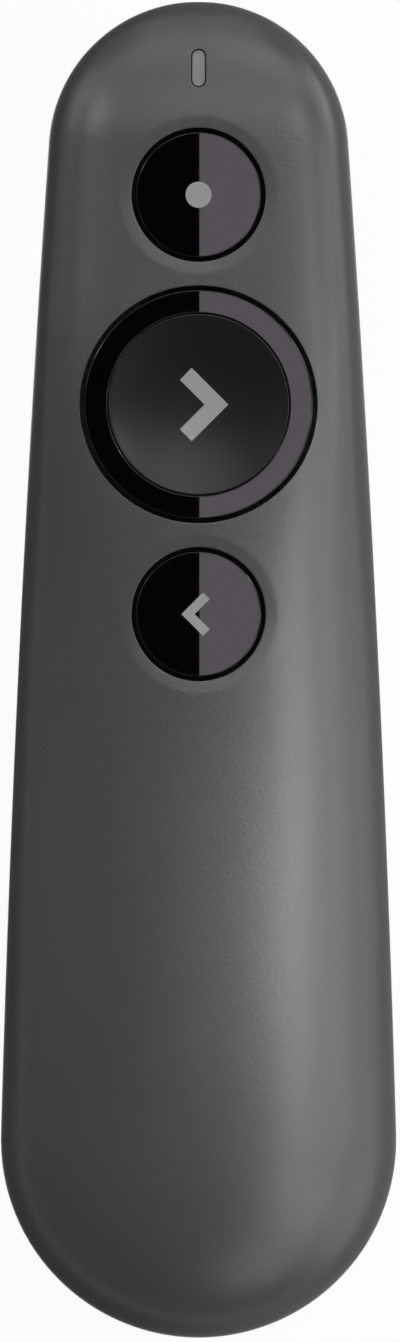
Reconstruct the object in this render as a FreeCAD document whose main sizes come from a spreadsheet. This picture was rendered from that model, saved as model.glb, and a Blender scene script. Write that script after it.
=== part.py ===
"""A wireless presentation clicker as a parametric assembly.

The clicker lies on its belly: +Z points out of the button face, +Y towards the nose with
the laser, and +X to the right of someone who looks down on the buttons with the nose away.
The origin is under the middle of the case, on the surface that the belly rests on.
All lengths are in millimetres.
"""
import FreeCAD, Part
import Sketcher
import math
import os
import re

Vector = FreeCAD.Vector

# Driving dimensions, one sheet cell each.
SIZES = {
    # Case outline from above: a round nose, a round tail and a slightly bowed side between.
    "body_length": 131.0,
    "nose_radius": 14.7,
    "tail_radius": 19.4,
    "side_radius": 2350.0,
    # Case form from the side, measured from the level where the two halves meet. The shoulders
    # soften from in front of the large button on, and the crown rises behind the last button.
    "split_height": 16.9,
    "deck_crown": 7.6,
    "grip_crown": 9.1,
    "crown_run": 42.0,
    "soften_run": 34.0,
    "nose_depth": 9.9,
    "belly_depth": 17.4,
    "belly_run": 40.0,
    "wall": 1.8,
    "overrun": 5.0,
    # Buttons, placed from the tip of the nose.
    "nose_to_next": 39.6,
    "button_pitch": 20.47,
    "button_gap": 0.43,
    "button_travel": 0.5,
    "small_cap_radius": 6.12,
    "small_cap_sink": 0.45,
    "small_dish_radius": 7.69,
    "small_dish_depth": 0.3,
    "cap_plate": 1.2,
    "cap_skirt_wall": 1.0,
    "cap_skirt": 2.75,
    "cap_flange": 0.75,
    "cap_flange_height": 0.8,
    "stem_radius": 1.6,
    "edge_round": 0.2,
    "ring_radius": 11.17,
    "ring_sink": 0.3,
    "ring_plate": 1.0,
    "ring_tab_width": 6.0,
    "ring_tab_reach": 1.0,
    "pad_radius": 8.91,
    "pad_sink": 0.1,
    "pad_hollow": 0.8,
    "pad_height": 2.3,
    "pad_flange": 1.0,
    "pad_fit": 0.04,
    # Signs let into the buttons.
    "icon_depth": 0.35,
    "dot_radius": 1.275,
    "next_sign_width": 1.64,
    "next_sign_arm": 5.06,
    "next_sign_tip": 2.91,
    "back_sign_width": 0.92,
    "back_sign_arm": 3.0,
    "back_sign_tip": 1.68,
    # Circuit board.
    "board_rise": 0.7,
    "board_thickness": 1.0,
    "board_half_width": 12.3,
    "board_front_half": 6.5,
    "nose_to_board": 5.2,
    "nose_to_shoulder": 13.5,
    "board_overlap": 2.0,
    "switch_side": 6.0,
    "switch_height": 2.6,
    "plunger_radius": 1.55,
    "plunger_clearance": 0.15,
    "plunger_rise": 1.0,
    "plunger_depth": 0.6,
    "chip_side": 5.0,
    "chip_height": 0.9,
    "chip_offset": 4.5,
    "crystal_length": 3.2,
    "crystal_width": 2.5,
    "crystal_height": 0.8,
    "crystal_offset": 6.2,
    "capacitor_length": 1.6,
    "capacitor_width": 0.8,
    "capacitor_offset": 5.4,
    "capacitor_pitch": 3.0,
    # Screws and the bosses that take them.
    "board_boss_x": 10.3,
    "board_boss_reach": 12.4,
    "boss_radius": 2.2,
    "screw_radius": 0.9,
    "screw_clearance": 0.06,
    "screw_head_radius": 1.7,
    "screw_head_height": 1.1,
    "screw_length": 4.4,
    "screw_spare": 0.6,
    "case_screw_x": 4.5,
    "tail_to_screw": 7.5,
    "case_lug_half": 7.5,
    "case_lug_height": 1.5,
    # Indicator in the nose.
    "nose_to_light": 6.73,
    "light_width": 1.47,
    "light_length": 3.77,
    "light_fit": 0.06,
    "light_sink": 0.25,
    "light_foot_width": 2.6,
    "light_foot_length": 5.0,
    "light_foot_height": 1.2,
    "light_air": 0.15,
    "led_width": 1.6,
    "led_length": 0.8,
    "led_height": 0.6,
    # Laser, under the front of the board.
    "laser_height": 13.0,
    "nose_to_barrel": 7.7,
    "barrel_length": 11.3,
    "barrel_radius": 3.0,
    "barrel_bore": 2.3,
    "barrel_fit": 0.05,
    "lens_radius": 2.25,
    "lens_thickness": 1.2,
    "lens_bulge": 0.35,
    "lens_inset": 0.8,
    "diode_flange_radius": 2.8,
    "diode_flange_height": 1.2,
    "diode_can_radius": 1.8,
    "diode_can_height": 3.0,
    "diode_lead_radius": 0.25,
    "diode_lead_x": 0.9,
    "diode_lead_run": 2.6,
    "cradle_thickness": 1.2,
    "cradle_half_width": 4.6,
    "cradle_inset": 2.2,
    "window_radius": 2.4,
    "window_length": 4.4,
    "window_fit": 0.05,
    "window_sink": 0.15,
    "window_wall": 0.85,
    "window_seat": 0.5,
    "window_housing": 2.4,
    # Batteries, size AAA, side by side. They are as long as the bay and one spring leave room for.
    "cell_radius": 5.25,
    "cell_nub_radius": 1.9,
    "cell_nub_height": 0.8,
    "cell_edge": 0.4,
    "cell_x": 5.3,
    "cell_height": 8.8,
    "nose_to_bay": 70.9,
    "tail_to_bay": 11.1,
    "spring_length": 4.5,
    "spring_base_radius": 3.4,
    "spring_tip_radius": 2.4,
    "spring_wire": 0.5,
    "contact_thickness": 0.4,
    "contact_half_width": 4.0,
    "contact_half_height": 3.5,
    "contact_tab_half": 2.0,
    "contact_fit": 0.2,
    # Battery tray.
    "tray_wall": 1.0,
    "tray_side_wall": 0.6,
    "tray_clearance": 0.25,
    "tray_side_drop": 1.2,
    "rail_reach": 1.05,
    "rail_height": 0.8,
    "rail_clearance": 0.3,
    "rail_end": 11.4,
    "rail_lip_bite": 0.7,
    "rear_wall_drop": 1.4,
    # Battery door.
    "nose_to_door": 54.5,
    "door_height": 10.3,
    "seam": 0.15,
    "tongue_half": 4.0,
    "tongue_height": 1.0,
    "tongue_lift": 1.9,
    "tongue_reach": 3.0,
    "tongue_root": 6.0,
    # Posts at the front of the tray.
    "post_x": 9.0,
    "post_radius": 2.0,
    "post_inset": 2.6,
    "tab_length": 4.7,
    # Stored radio receiver.
    "receiver_length": 18.7,
    "receiver_width": 14.4,
    "receiver_thickness": 6.1,
    "receiver_height": 4.7,
    "receiver_inset": 0.5,
    "housing_length": 6.7,
    "plug_width": 12.0,
    "plug_thickness": 4.5,
    "plug_wall": 0.35,
    "plug_tongue_thickness": 1.9,
    "plug_tongue_setback": 0.6,
}

# Shares that shape the case: how full its ends are from the side, and where the two handles
# of each quarter section lie, as shares of its height and of its half width.
END_POWER = 2.3
DECK_SHARES = (0.80, 0.95)
GRIP_SHARES = (0.58, 0.56)
BELLY_SHARES = (0.62, 0.62)
# How many cross sections shape the nose, the side and the tail.
SECTION_COUNTS = (9, 12, 10)
# Two places nearer than this, in millimetres, are the same place.
SAME_PLACE = 1e-4

document = FreeCAD.newDocument("PresentationClicker")
sheet = document.addObject("Spreadsheet::Sheet", "Sizes")
for row, (alias, number) in enumerate(SIZES.items(), start=1):
    sheet.set(f"A{row}", alias)
    sheet.set(f"B{row}", str(number))
    sheet.setAlias(f"B{row}", alias)
document.recompute()

pieces = {}


def size(alias):
    """Give the number that the sheet holds under this name."""
    return float(sheet.get(alias))


def linked(text):
    """Turn a sum written in size names into an expression that reads the sheet."""
    return re.sub(r"[a-z][a-z0-9_]*",
                  lambda word: "Sizes." + word.group() if word.group() in SIZES else word.group(),
                  text)


def bind(item, **properties):
    """Tie properties of a document object to sums of sheet values."""
    for name, text in properties.items():
        item.setExpression(name, linked(text))
    return item


def place(item, at, turn=None):
    """Put an object at three sums of sheet values, turned if asked."""
    if turn is not None:
        item.Placement = FreeCAD.Placement(Vector(), turn)
    for axis, text in zip("xyz", at):
        if text != "0":
            item.setExpression("Placement.Base." + axis, linked(text))
    return item


TO_NOSE = FreeCAD.Rotation(Vector(1, 0, 0), -90)
TO_TAIL = FreeCAD.Rotation(Vector(1, 0, 0), 90)
DOWN = FreeCAD.Rotation(Vector(1, 0, 0), 180)


def box(name, sides, low):
    """A block from its three sides and its lowest corner."""
    item = document.addObject("Part::Box", name)
    bind(item, Length=sides[0], Width=sides[1], Height=sides[2])
    return place(item, low)


def rod(name, radius, length, at, turn=None):
    """A cylinder that starts at a point and runs up, or along its turn."""
    item = document.addObject("Part::Cylinder", name)
    bind(item, Radius=radius, Height=length)
    return place(item, at, turn)


def ball(name, radius, at):
    """A whole sphere."""
    item = document.addObject("Part::Sphere", name)
    bind(item, Radius=radius)
    return place(item, at)


def cut(name, base, *tools):
    """The base with every tool taken away."""
    for count, tool in enumerate(tools, start=1):
        item = document.addObject("Part::Cut", name if count == len(tools) else f"{name}_{count}")
        item.Base = base
        item.Tool = tool
        base = item
    return base


def fuse(name, *parts):
    """All the parts as one solid."""
    item = document.addObject("Part::MultiFuse", name)
    item.Shapes = list(parts)
    return item


def common(name, *parts):
    """What all the parts share."""
    item = document.addObject("Part::MultiCommon", name)
    item.Shapes = list(parts)
    return item


def group(name, *parts):
    """Separate solids kept side by side in one node."""
    item = document.addObject("Part::Compound", name)
    item.Links = list(parts)
    return item


def keep(label, item):
    """Name a finished sub-part."""
    item.Label = label
    pieces[label] = item
    return item


def origin_plane(body, role):
    """One of the body's own origin planes."""
    return next(plane for plane in body.Origin.OriginFeatures if plane.Role == role)


def profile(body, name, role, corners):
    """A closed outline of straight lines whose every corner is tied to the sheet."""
    sketch = body.newObject("Sketcher::SketchObject", name)
    sketch.AttachmentSupport = (origin_plane(body, role), [""])
    sketch.MapMode = "FlatFace"
    count = len(corners)
    start = [Vector(math.cos(math.tau * i / count), math.sin(math.tau * i / count), 0)
             for i in range(count)]
    for i in range(count):
        sketch.addGeometry(Part.LineSegment(start[i], start[(i + 1) % count]), False)
    for i in range(count):
        sketch.addConstraint(Sketcher.Constraint("Coincident", i, 2, (i + 1) % count, 1))
    for i, corner in enumerate(corners):
        for kind, number, text in zip(("DistanceX", "DistanceY"), start[i], corner):
            row = sketch.addConstraint(Sketcher.Constraint(kind, -1, 1, i, 1, number))
            sketch.setExpression(f"Constraints[{row}]", linked(text))
    return sketch


def turned(name, corners, at, turn=None):
    """A turned piece: corners are (radius, height) pairs, swept round its own upright axis."""
    body = document.addObject("PartDesign::Body", name)
    sketch = profile(body, name + "_profile", "XZ_Plane", corners)
    revolution = body.newObject("PartDesign::Revolution", name + "_turn")
    revolution.Profile = sketch
    revolution.ReferenceAxis = (sketch, ["V_Axis"])
    revolution.Angle = 360.0
    body.Tip = revolution
    return place(body, at, turn)


def plate(name, corners, thickness, at, role="XY_Plane", turn=None):
    """A flat piece: an outline in one plane, padded to its thickness."""
    body = document.addObject("PartDesign::Body", name)
    sketch = profile(body, name + "_outline", role, corners)
    pad = body.newObject("PartDesign::Pad", name + "_pad")
    pad.Profile = sketch
    pad.setExpression("Length", linked(thickness))
    body.Tip = pad
    return place(body, at, turn)


def round_edges(body, radius, wanted):
    """Round the edges of a body's tip that pass the test."""
    document.recompute()
    base = body.Tip
    names = [f"Edge{i}" for i, edge in enumerate(base.Shape.Edges, start=1) if wanted(edge)]
    fillet = body.newObject("PartDesign::Fillet", base.Name + "_round")
    fillet.Base = (base, names)
    fillet.setExpression("Radius", linked(radius))
    body.Tip = fillet
    return body


# Places used by more than one piece, as sums of sheet values.
NOSE = "body_length / 2"
NEXT_Y = f"({NOSE} - nose_to_next)"
LASER_Y = f"({NEXT_Y} + button_pitch)"
BACK_Y = f"({NEXT_Y} - button_pitch)"
LIGHT_Y = f"({NOSE} - nose_to_light)"
DOOR_Y = f"({NOSE} - nose_to_door)"
BAY_Y = f"({NOSE} - nose_to_bay)"
BAY_LENGTH = "(body_length - nose_to_bay - tail_to_bay)"
BAY_REAR_Y = f"({BAY_Y} - {BAY_LENGTH})"
CELL_LENGTH = f"({BAY_LENGTH} - spring_length)"
CASE_SCREW_Y = f"(tail_to_screw - {NOSE})"
DECK = "(split_height + deck_crown)"
BOARD_TOP = "(split_height + board_rise)"
BOARD_UNDER = f"({BOARD_TOP} - board_thickness)"
PLUNGER_TOP = f"({BOARD_TOP} + switch_height + plunger_rise)"
SMALL_TOP = f"({DECK} - small_cap_sink)"
RING_TOP = f"({DECK} - ring_sink)"
PAD_RIM = f"({RING_TOP} - pad_sink)"
PAD_CURVE = "((pad_radius ^ 2 + pad_hollow ^ 2) / (2 * pad_hollow))"
TRAY_CEILING = "(cell_height + cell_radius + tray_clearance)"
TRAY_HALF = "(cell_x + cell_radius + tray_clearance / 2)"
RAIL_Z = "(cell_height - tray_side_drop)"
RECEIVER_Y = f"({DOOR_Y} - receiver_inset - receiver_width)"
RECEIVER_CEILING = "(receiver_height + receiver_thickness + tray_clearance)"
POST_Y = f"({DOOR_Y} + post_inset)"
LUG_TOP = "(door_height + 2 * seam + case_lug_height)"
BARREL_Y = f"({NOSE} - nose_to_barrel)"


def outline_stations(inset):
    """Places along half the outline from the nose tip to the tail tip, moved inwards.

    The nose and the tail are quarter arcs and more, and the side is a long arc that both
    touch from inside. Each station is its half width and its place along the case.
    """
    nose, tail, side = size("nose_radius"), size("tail_radius"), size("side_radius")
    nose_y = size("body_length") / 2 - nose
    tail_y = tail - size("body_length") / 2
    centre_y = ((side - nose) ** 2 - (side - tail) ** 2 - nose_y ** 2 + tail_y ** 2)
    centre_y = centre_y / (2 * (tail_y - nose_y))
    centre_x = -math.sqrt((side - nose) ** 2 - (centre_y - nose_y) ** 2)
    front = math.atan2(nose_y - centre_y, -centre_x)
    rear = math.atan2(tail_y - centre_y, -centre_x)
    arcs = ((0, nose_y, nose - inset, math.pi / 2, front),
            (centre_x, centre_y, side - inset, front, rear),
            (0, tail_y, tail - inset, rear, -math.pi / 2))
    stations = []
    for (middle_x, middle_y, radius, start, end), count in zip(arcs, SECTION_COUNTS):
        for step in range(count):
            angle = start + (end - start) * step / count
            stations.append((middle_x + radius * math.cos(angle),
                             middle_y + radius * math.sin(angle)))
    stations.append((0, tail_y - tail + inset))
    return stations, nose_y, tail_y


def smooth(share):
    """Ease from 0 to 1 with no kink at either end."""
    share = min(1.0, max(0.0, share))
    return share * share * (3 - 2 * share)


def end_share(y, nose_y, tail_y, inset):
    """How much of its full height the form still has at this place."""
    if y > nose_y:
        out = (y - nose_y) / (size("nose_radius") - inset)
    elif y < tail_y:
        out = (tail_y - y) / (size("tail_radius") - inset)
    else:
        out = 0.0
    return (1 - min(1.0, out) ** END_POWER) ** (1 / END_POWER)


def half_form(name, upper, inset):
    """The upper or lower half of the case as a solid, moved inwards by an inset.

    Each cross section is two cubic curves that stand upright at the sides and lie level in
    the middle. Six rails through the matching handles of all sections make the surface.
    """
    stations, nose_y, tail_y = outline_stations(inset)
    next_y = size("body_length") / 2 - size("nose_to_next")
    soften_y = next_y + size("button_pitch") / 2
    rise_y = next_y - size("button_pitch") - size("small_dish_radius")
    split = size("split_height")
    rows = []
    for half_width, y in stations:
        if upper:
            blend = smooth((soften_y - y) / size("soften_run"))
            rise = smooth((rise_y - y) / size("crown_run"))
            full = size("deck_crown") + (size("grip_crown") - size("deck_crown")) * rise
            side, top = (deck + (grip - deck) * blend for deck, grip in zip(DECK_SHARES, GRIP_SHARES))
        else:
            blend = smooth((nose_y - y) / size("belly_run"))
            full = size("nose_depth") + (size("belly_depth") - size("nose_depth")) * blend
            side, top = BELLY_SHARES
        reach = (full - inset) * end_share(y, nose_y, tail_y, inset) * (1 if upper else -1)
        if (half_width, y) in (stations[0], stations[-1]):
            half_width = reach = 0
        rows.append([Vector(-half_width, y, split),
                     Vector(-half_width, y, split + side * reach),
                     Vector(-top * half_width, y, split + reach),
                     Vector(top * half_width, y, split + reach),
                     Vector(half_width, y, split + side * reach),
                     Vector(half_width, y, split)])
    marks = [0.0]
    for before, after in zip(rows, rows[1:]):
        marks.append(marks[-1] + (after[-1] - before[-1]).Length)
    rails = []
    for column in zip(*rows):
        rail = Part.BSplineCurve()
        rail.interpolate(Points=list(column), Parameters=marks)
        rails.append(rail)
    skin = Part.BSplineSurface()
    skin.buildFromPolesMultsKnots([rail.getPoles() for rail in rails], [4, 2, 4],
                                  rails[0].getMultiplicities(), [0.0, 1.0, 2.0],
                                  rails[0].getKnots(), False, False, 3, 3)
    shell = skin.toShape()
    rim = [edge for edge in shell.Edges if not edge.Degenerated]
    closed = Part.Shell([shell, Part.Face(Part.Wire(rim))])
    closed.sewShape()
    solid = Part.Solid(closed)
    if solid.Volume < 0:
        solid.reverse()
    item = document.addObject("Part::Feature", name)
    item.Shape = solid
    return item


upper_form = half_form("upper_form", True, 0)
upper_core = half_form("upper_core", True, size("wall"))
light_form = half_form("light_form", True, size("light_sink"))
dish_form = half_form("dish_form", True, size("small_dish_depth"))
round_belly = half_form("round_belly", False, 0)
lower_core = half_form("lower_core", False, size("wall"))
window_form = half_form("window_form", False, size("window_sink"))


def slab(name, low_y, high_y, low_z, high_z):
    """A block wider than the case between two places and two heights."""
    return box(name, ("2 * (tail_radius + overrun)", f"{high_y} - ({low_y})", f"{high_z} - ({low_z})"),
               ("-(tail_radius + overrun)", low_y, low_z))


# The belly has a flat land that the clicker rests on.
lower_form = cut("lower_form", round_belly,
                 slab("floor", f"-({NOSE} + overrun)", f"{NOSE} + overrun", "-overrun", "0"))


def make_top_shell():
    """Upper half of the case with wells for the buttons, the light slot and screw bosses."""
    bosses = []
    feet = []
    bores = []
    for side in (-1, 1):
        for end in (-1, 1):
            at = (f"{side} * board_boss_x", f"{NEXT_Y} + {end} * board_boss_reach", BOARD_TOP)
            bosses.append(rod("board_boss", "boss_radius", "deck_crown", at))
            bores.append(rod("board_boss_bore", "screw_radius + screw_clearance",
                             "screw_length + screw_spare - board_thickness", at))
        x = f"{side} * case_screw_x"
        foot_z = f"({LUG_TOP} + tray_wall)"
        bosses.append(rod("case_boss", "boss_radius", "deck_crown", (x, CASE_SCREW_Y, "split_height")))
        feet.append(rod("case_boss_foot", "boss_radius", f"split_height - {foot_z}",
                        (x, CASE_SCREW_Y, foot_z)))
        bores.append(rod("case_boss_bore", "screw_radius + screw_clearance",
                         "screw_length + screw_spare - tray_wall", (x, CASE_SCREW_Y, foot_z)))
    inside = common("bosses_inside", fuse("bosses", *bosses), upper_form)
    shell = fuse("top_skin_and_bosses", cut("top_skin", upper_form, upper_core), inside, *feet)
    wells = [rod("next_well", "ring_radius + button_gap", "deck_crown + overrun",
                 ("0", NEXT_Y, BOARD_TOP))]
    for y in (LASER_Y, BACK_Y):
        wells.append(rod("small_well", "small_cap_radius + button_gap", "deck_crown + overrun",
                         ("0", y, BOARD_TOP)))
        disc = rod("small_dish_disc", "small_dish_radius", "deck_crown + overrun", ("0", y, BOARD_TOP))
        wells.append(cut("small_dish", disc, dish_form))
    keep("top_shell", cut("top_shell", shell, *wells, *bores,
                          light_slot("light_opening", "light_width", "light_length", BOARD_TOP,
                                     "deck_crown + overrun")))


def light_slot(name, width, length, low, height):
    """An upright prism with round ends, on the line of the indicator."""
    half_run = f"(({length}) - ({width})) / 2"
    middle = box(name + "_middle", (width, f"2 * ({half_run})", height),
                 (f"-({width}) / 2", f"{LIGHT_Y} - {half_run}", low))
    ends = [rod(name + "_end", f"({width}) / 2", height, ("0", f"{LIGHT_Y} + {end} * {half_run}", low))
            for end in (-1, 1)]
    return fuse(name, middle, *ends)


def make_bottom_shell():
    """Lower half of the case around the door, with the laser cradle and screw seats."""
    skin = cut("bottom_skin", lower_form, lower_core)
    open_skin = cut("bottom_skin_open", skin,
                    slab("door_room", f"-({NOSE} + overrun)", DOOR_Y, "-overrun", "door_height + seam"))
    lug = common("case_lug_inside", lower_form,
                 box("case_lug", ("2 * case_lug_half", f"{CASE_SCREW_Y} + {NOSE} + screw_head_radius",
                                  "case_lug_height"),
                     ("-case_lug_half", f"-{NOSE}", f"{LUG_TOP} - case_lug_height")))
    added = [open_skin, lug]
    bores = []
    for side in (-1, 1):
        x = f"{side} * post_x"
        post = rod("tray_post", "post_radius", RECEIVER_CEILING, (x, POST_Y, "0"))
        added.append(common("tray_post_inside", post, lower_form))
        bores.append(rod("tray_post_bore", "screw_radius + screw_clearance", "screw_length",
                         (x, POST_Y, f"{RECEIVER_CEILING} - screw_length")))
        bores.append(rod("lug_bore", "screw_radius + screw_clearance", "case_lug_height + overrun",
                         (f"{side} * case_screw_x", CASE_SCREW_Y, f"{LUG_TOP} - case_lug_height")))
    for y in (f"{BARREL_Y} - cradle_inset", f"{BARREL_Y} - barrel_length + cradle_inset"):
        rib = box("cradle_rib", ("2 * cradle_half_width", "cradle_thickness", "laser_height"),
                  ("-cradle_half_width", f"{y} - cradle_thickness / 2", "0"))
        added.append(common("cradle_rib_inside", rib, lower_form))
    bores.append(rod("barrel_seat", "barrel_radius + barrel_fit", "barrel_length + 2 * window_seat",
                     ("0", f"{BARREL_Y} - barrel_length - window_seat", "laser_height"), TO_NOSE))
    # A tube behind the chin of the nose holds the window and lets the beam through.
    housing_y = f"({NOSE} - window_length - window_housing)"
    housing = rod("window_housing", "window_radius + window_wall", f"{NOSE} - {housing_y}",
                  ("0", housing_y, "laser_height"), TO_NOSE)
    added.append(common("window_housing_inside", housing, lower_form))
    bores.append(rod("window_bore", "window_radius + window_fit", "window_length + overrun",
                     ("0", f"{NOSE} - window_length", "laser_height"), TO_NOSE))
    bores.append(rod("beam_bore", "window_radius - window_seat", "window_housing + overrun",
                     ("0", f"{housing_y} - window_seat", "laser_height"), TO_NOSE))
    keep("bottom_shell", cut("bottom_shell", fuse("bottom_blank", *added), *bores))


def make_battery_door():
    """Cover under the batteries and the tail, which slides off towards the tail."""
    room = slab("door_block", f"-({NOSE} + overrun)", f"{DOOR_Y} - seam", "-overrun", "door_height")
    skin = common("door_skin", cut("door_form", lower_form, lower_core), room)
    parts = [skin]
    lip_low = f"({RAIL_Z} + rail_height + rail_clearance)"
    lip_x = f"({TRAY_HALF} + tray_side_wall + rail_reach - rail_lip_bite)"
    for side, name in ((-1, "left_lip"), (1, "right_lip")):
        width = f"tail_radius - {lip_x}"
        low_x = lip_x if side > 0 else "-tail_radius"
        lip = box(name, (width, f"{BAY_LENGTH} - rail_end", "rail_height"),
                  (low_x, f"{BAY_REAR_Y} + rail_end - rail_clearance", lip_low))
        parts.append(common(name + "_inside", lip, lower_form))
    parts.append(box("tongue", ("2 * tongue_half", "tongue_root + tongue_reach", "tongue_height"),
                     ("-tongue_half", f"{DOOR_Y} - tongue_root", "tongue_lift")))
    parts.append(box("tongue_web", ("2 * tongue_half", "tongue_root - seam", "tongue_lift"),
                     ("-tongue_half", f"{DOOR_Y} - tongue_root", "seam")))
    keep("battery_door", fuse("battery_door", *parts))


def make_battery_tray():
    """Frame that holds the batteries, their contacts and the stored receiver."""
    half = f"({TRAY_HALF} + tray_side_wall)"
    wall_y = f"({BAY_Y} + contact_thickness)"
    rear_y = f"({BAY_REAR_Y} - contact_thickness - tray_wall)"
    dock_x = "(receiver_length / 2 + tray_clearance)"
    roof_half = f"max({half}; {dock_x} + tray_side_wall)"
    parts = [box("tray_ceiling", (f"2 * {half}", f"{wall_y} + tray_wall - {rear_y}", "tray_wall"),
                 (f"-{half}", rear_y, TRAY_CEILING))]
    for y, low, name in ((wall_y, RAIL_Z, "tray_front_wall"),
                         (rear_y, "(cell_height - rear_wall_drop)", "tray_rear_wall")):
        parts.append(box(name, (f"2 * {half}", "tray_wall", f"{TRAY_CEILING} - {low}"),
                         (f"-{half}", y, low)))
    for side in (-1, 1):
        low_x = TRAY_HALF if side > 0 else f"-{half}"
        parts.append(box("tray_side", ("tray_side_wall", f"{BAY_LENGTH}", f"{TRAY_CEILING} - {RAIL_Z}"),
                         (low_x, BAY_REAR_Y, RAIL_Z)))
        low_x = half if side > 0 else f"-({half} + rail_reach)"
        parts.append(box("tray_rail", ("rail_reach", f"{BAY_LENGTH} - rail_end", "rail_height"),
                         (low_x, f"{BAY_REAR_Y} + rail_end", RAIL_Z)))
        parts.append(box("tray_tab", ("2 * post_radius", "tab_length", "tray_wall"),
                         (f"{side} * post_x - post_radius", DOOR_Y, RECEIVER_CEILING)))
        low_x = dock_x if side > 0 else f"-({dock_x} + tray_side_wall)"
        parts.append(box("receiver_wall", ("tray_side_wall", f"{DOOR_Y} - ({wall_y})",
                                           f"{RECEIVER_CEILING} - {RAIL_Z}"),
                         (low_x, wall_y, RAIL_Z)))
    parts.append(box("receiver_ceiling", (f"2 * {roof_half}", f"{DOOR_Y} - ({wall_y})", "tray_wall"),
                     (f"-{roof_half}", wall_y, RECEIVER_CEILING)))
    parts.append(box("tray_lug", ("2 * (case_screw_x + boss_radius)",
                                  f"{rear_y} + tray_wall - ({CASE_SCREW_Y} - boss_radius)", "tray_wall"),
                     ("-(case_screw_x + boss_radius)", f"{CASE_SCREW_Y} - boss_radius", LUG_TOP)))
    tools = []
    for side in (-1, 1):
        tools.append(box("contact_slot", ("2 * (contact_tab_half + contact_fit)",
                                          "contact_thickness + contact_fit", "tray_wall + overrun"),
                         (f"{side} * cell_x - contact_tab_half - contact_fit",
                          f"{BAY_Y} - contact_fit", f"{TRAY_CEILING} - contact_fit")))
        tools.append(rod("tray_lug_bore", "screw_radius + screw_clearance", "tray_wall + 2 * contact_fit",
                         (f"{side} * case_screw_x", CASE_SCREW_Y, f"{LUG_TOP} - contact_fit")))
        tools.append(rod("tray_tab_bore", "screw_radius + screw_clearance", "tray_wall + 2 * contact_fit",
                         (f"{side} * post_x", POST_Y, f"{RECEIVER_CEILING} - contact_fit")))
    keep("battery_tray", cut("battery_tray", fuse("tray_blank", *parts), *tools))


def make_board():
    """Circuit board with its holes, the parts soldered on it and the switch under each button."""
    rear_y = f"({BAY_Y} - board_overlap)"
    shoulder = f"({NOSE} - nose_to_shoulder)"
    front = f"({NOSE} - nose_to_board)"
    outline = [("-board_half_width", rear_y), ("board_half_width", rear_y),
               ("board_half_width", shoulder), ("board_front_half", front),
               ("-board_front_half", front), ("-board_half_width", shoulder)]
    blank = plate("board_blank", outline, "board_thickness", ("0", "0", BOARD_UNDER))
    holes = [rod("board_hole", "screw_radius + screw_clearance", "board_thickness + 2 * screw_spare",
                 (f"{side} * board_boss_x", f"{NEXT_Y} + {end} * board_boss_reach",
                  f"{BOARD_UNDER} - screw_spare"))
             for side in (-1, 1) for end in (-1, 1)]
    keep("main_board", cut("main_board", blank, *holes))
    under = (("radio_chip", "chip_side", "chip_side", "chip_height", "0", "0"),
             ("crystal", "crystal_length", "crystal_width", "crystal_height", "crystal_offset", "0"))
    middle_y = f"({NEXT_Y} + chip_offset)"
    for name, length, width, height, x, y in under:
        keep(name, box(name, (length, width, height),
                       (f"{x} - {length} / 2", f"{middle_y} + {y} - {width} / 2",
                        f"{BOARD_UNDER} - {height}")))
    capacitors = [box("capacitor", ("capacitor_length", "capacitor_width", "capacitor_width"),
                      ("-(capacitor_offset + capacitor_length / 2)",
                       f"{middle_y} + {step} * capacitor_pitch - capacitor_width / 2",
                       f"{BOARD_UNDER} - capacitor_width"))
                  for step in (-1, 0, 1)]
    keep("capacitors", group("capacitors", *capacitors))
    keep("status_led", box("status_led", ("led_width", "led_length", "led_height"),
                           ("-led_width / 2", f"{LIGHT_Y} - led_length / 2", BOARD_TOP)))
    for name, y in (("laser", LASER_Y), ("next", NEXT_Y), ("back", BACK_Y)):
        case = box(f"{name}_switch_case", ("switch_side", "switch_side", "switch_height"),
                   ("-switch_side / 2", f"{y} - switch_side / 2", BOARD_TOP))
        well_low = f"({BOARD_TOP} + switch_height - plunger_depth - button_travel - plunger_clearance)"
        well = rod(f"{name}_switch_well", "plunger_radius + plunger_clearance", "switch_height",
                   ("0", y, well_low))
        keep(f"{name}_switch", cut(f"{name}_switch", case, well))
        keep(f"{name}_switch_plunger",
             rod(f"{name}_switch_plunger", "plunger_radius", "plunger_rise + plunger_depth",
                 ("0", y, f"{PLUNGER_TOP} - plunger_rise - plunger_depth")))


def make_light_pipe():
    """Clear rod that carries the light of the indicator up into its slot."""
    low = f"({BOARD_TOP} + led_height + light_air)"
    pipe = common("light_pipe_top", light_form,
                  light_slot("light_bar", "light_width - 2 * light_fit", "light_length - 2 * light_fit",
                             low, "deck_crown"))
    foot = box("light_foot", ("light_foot_width", "light_foot_length", "light_foot_height"),
               ("-light_foot_width / 2", f"{LIGHT_Y} - light_foot_length / 2", low))
    keep("light_pipe", fuse("light_pipe", pipe, foot))


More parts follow.
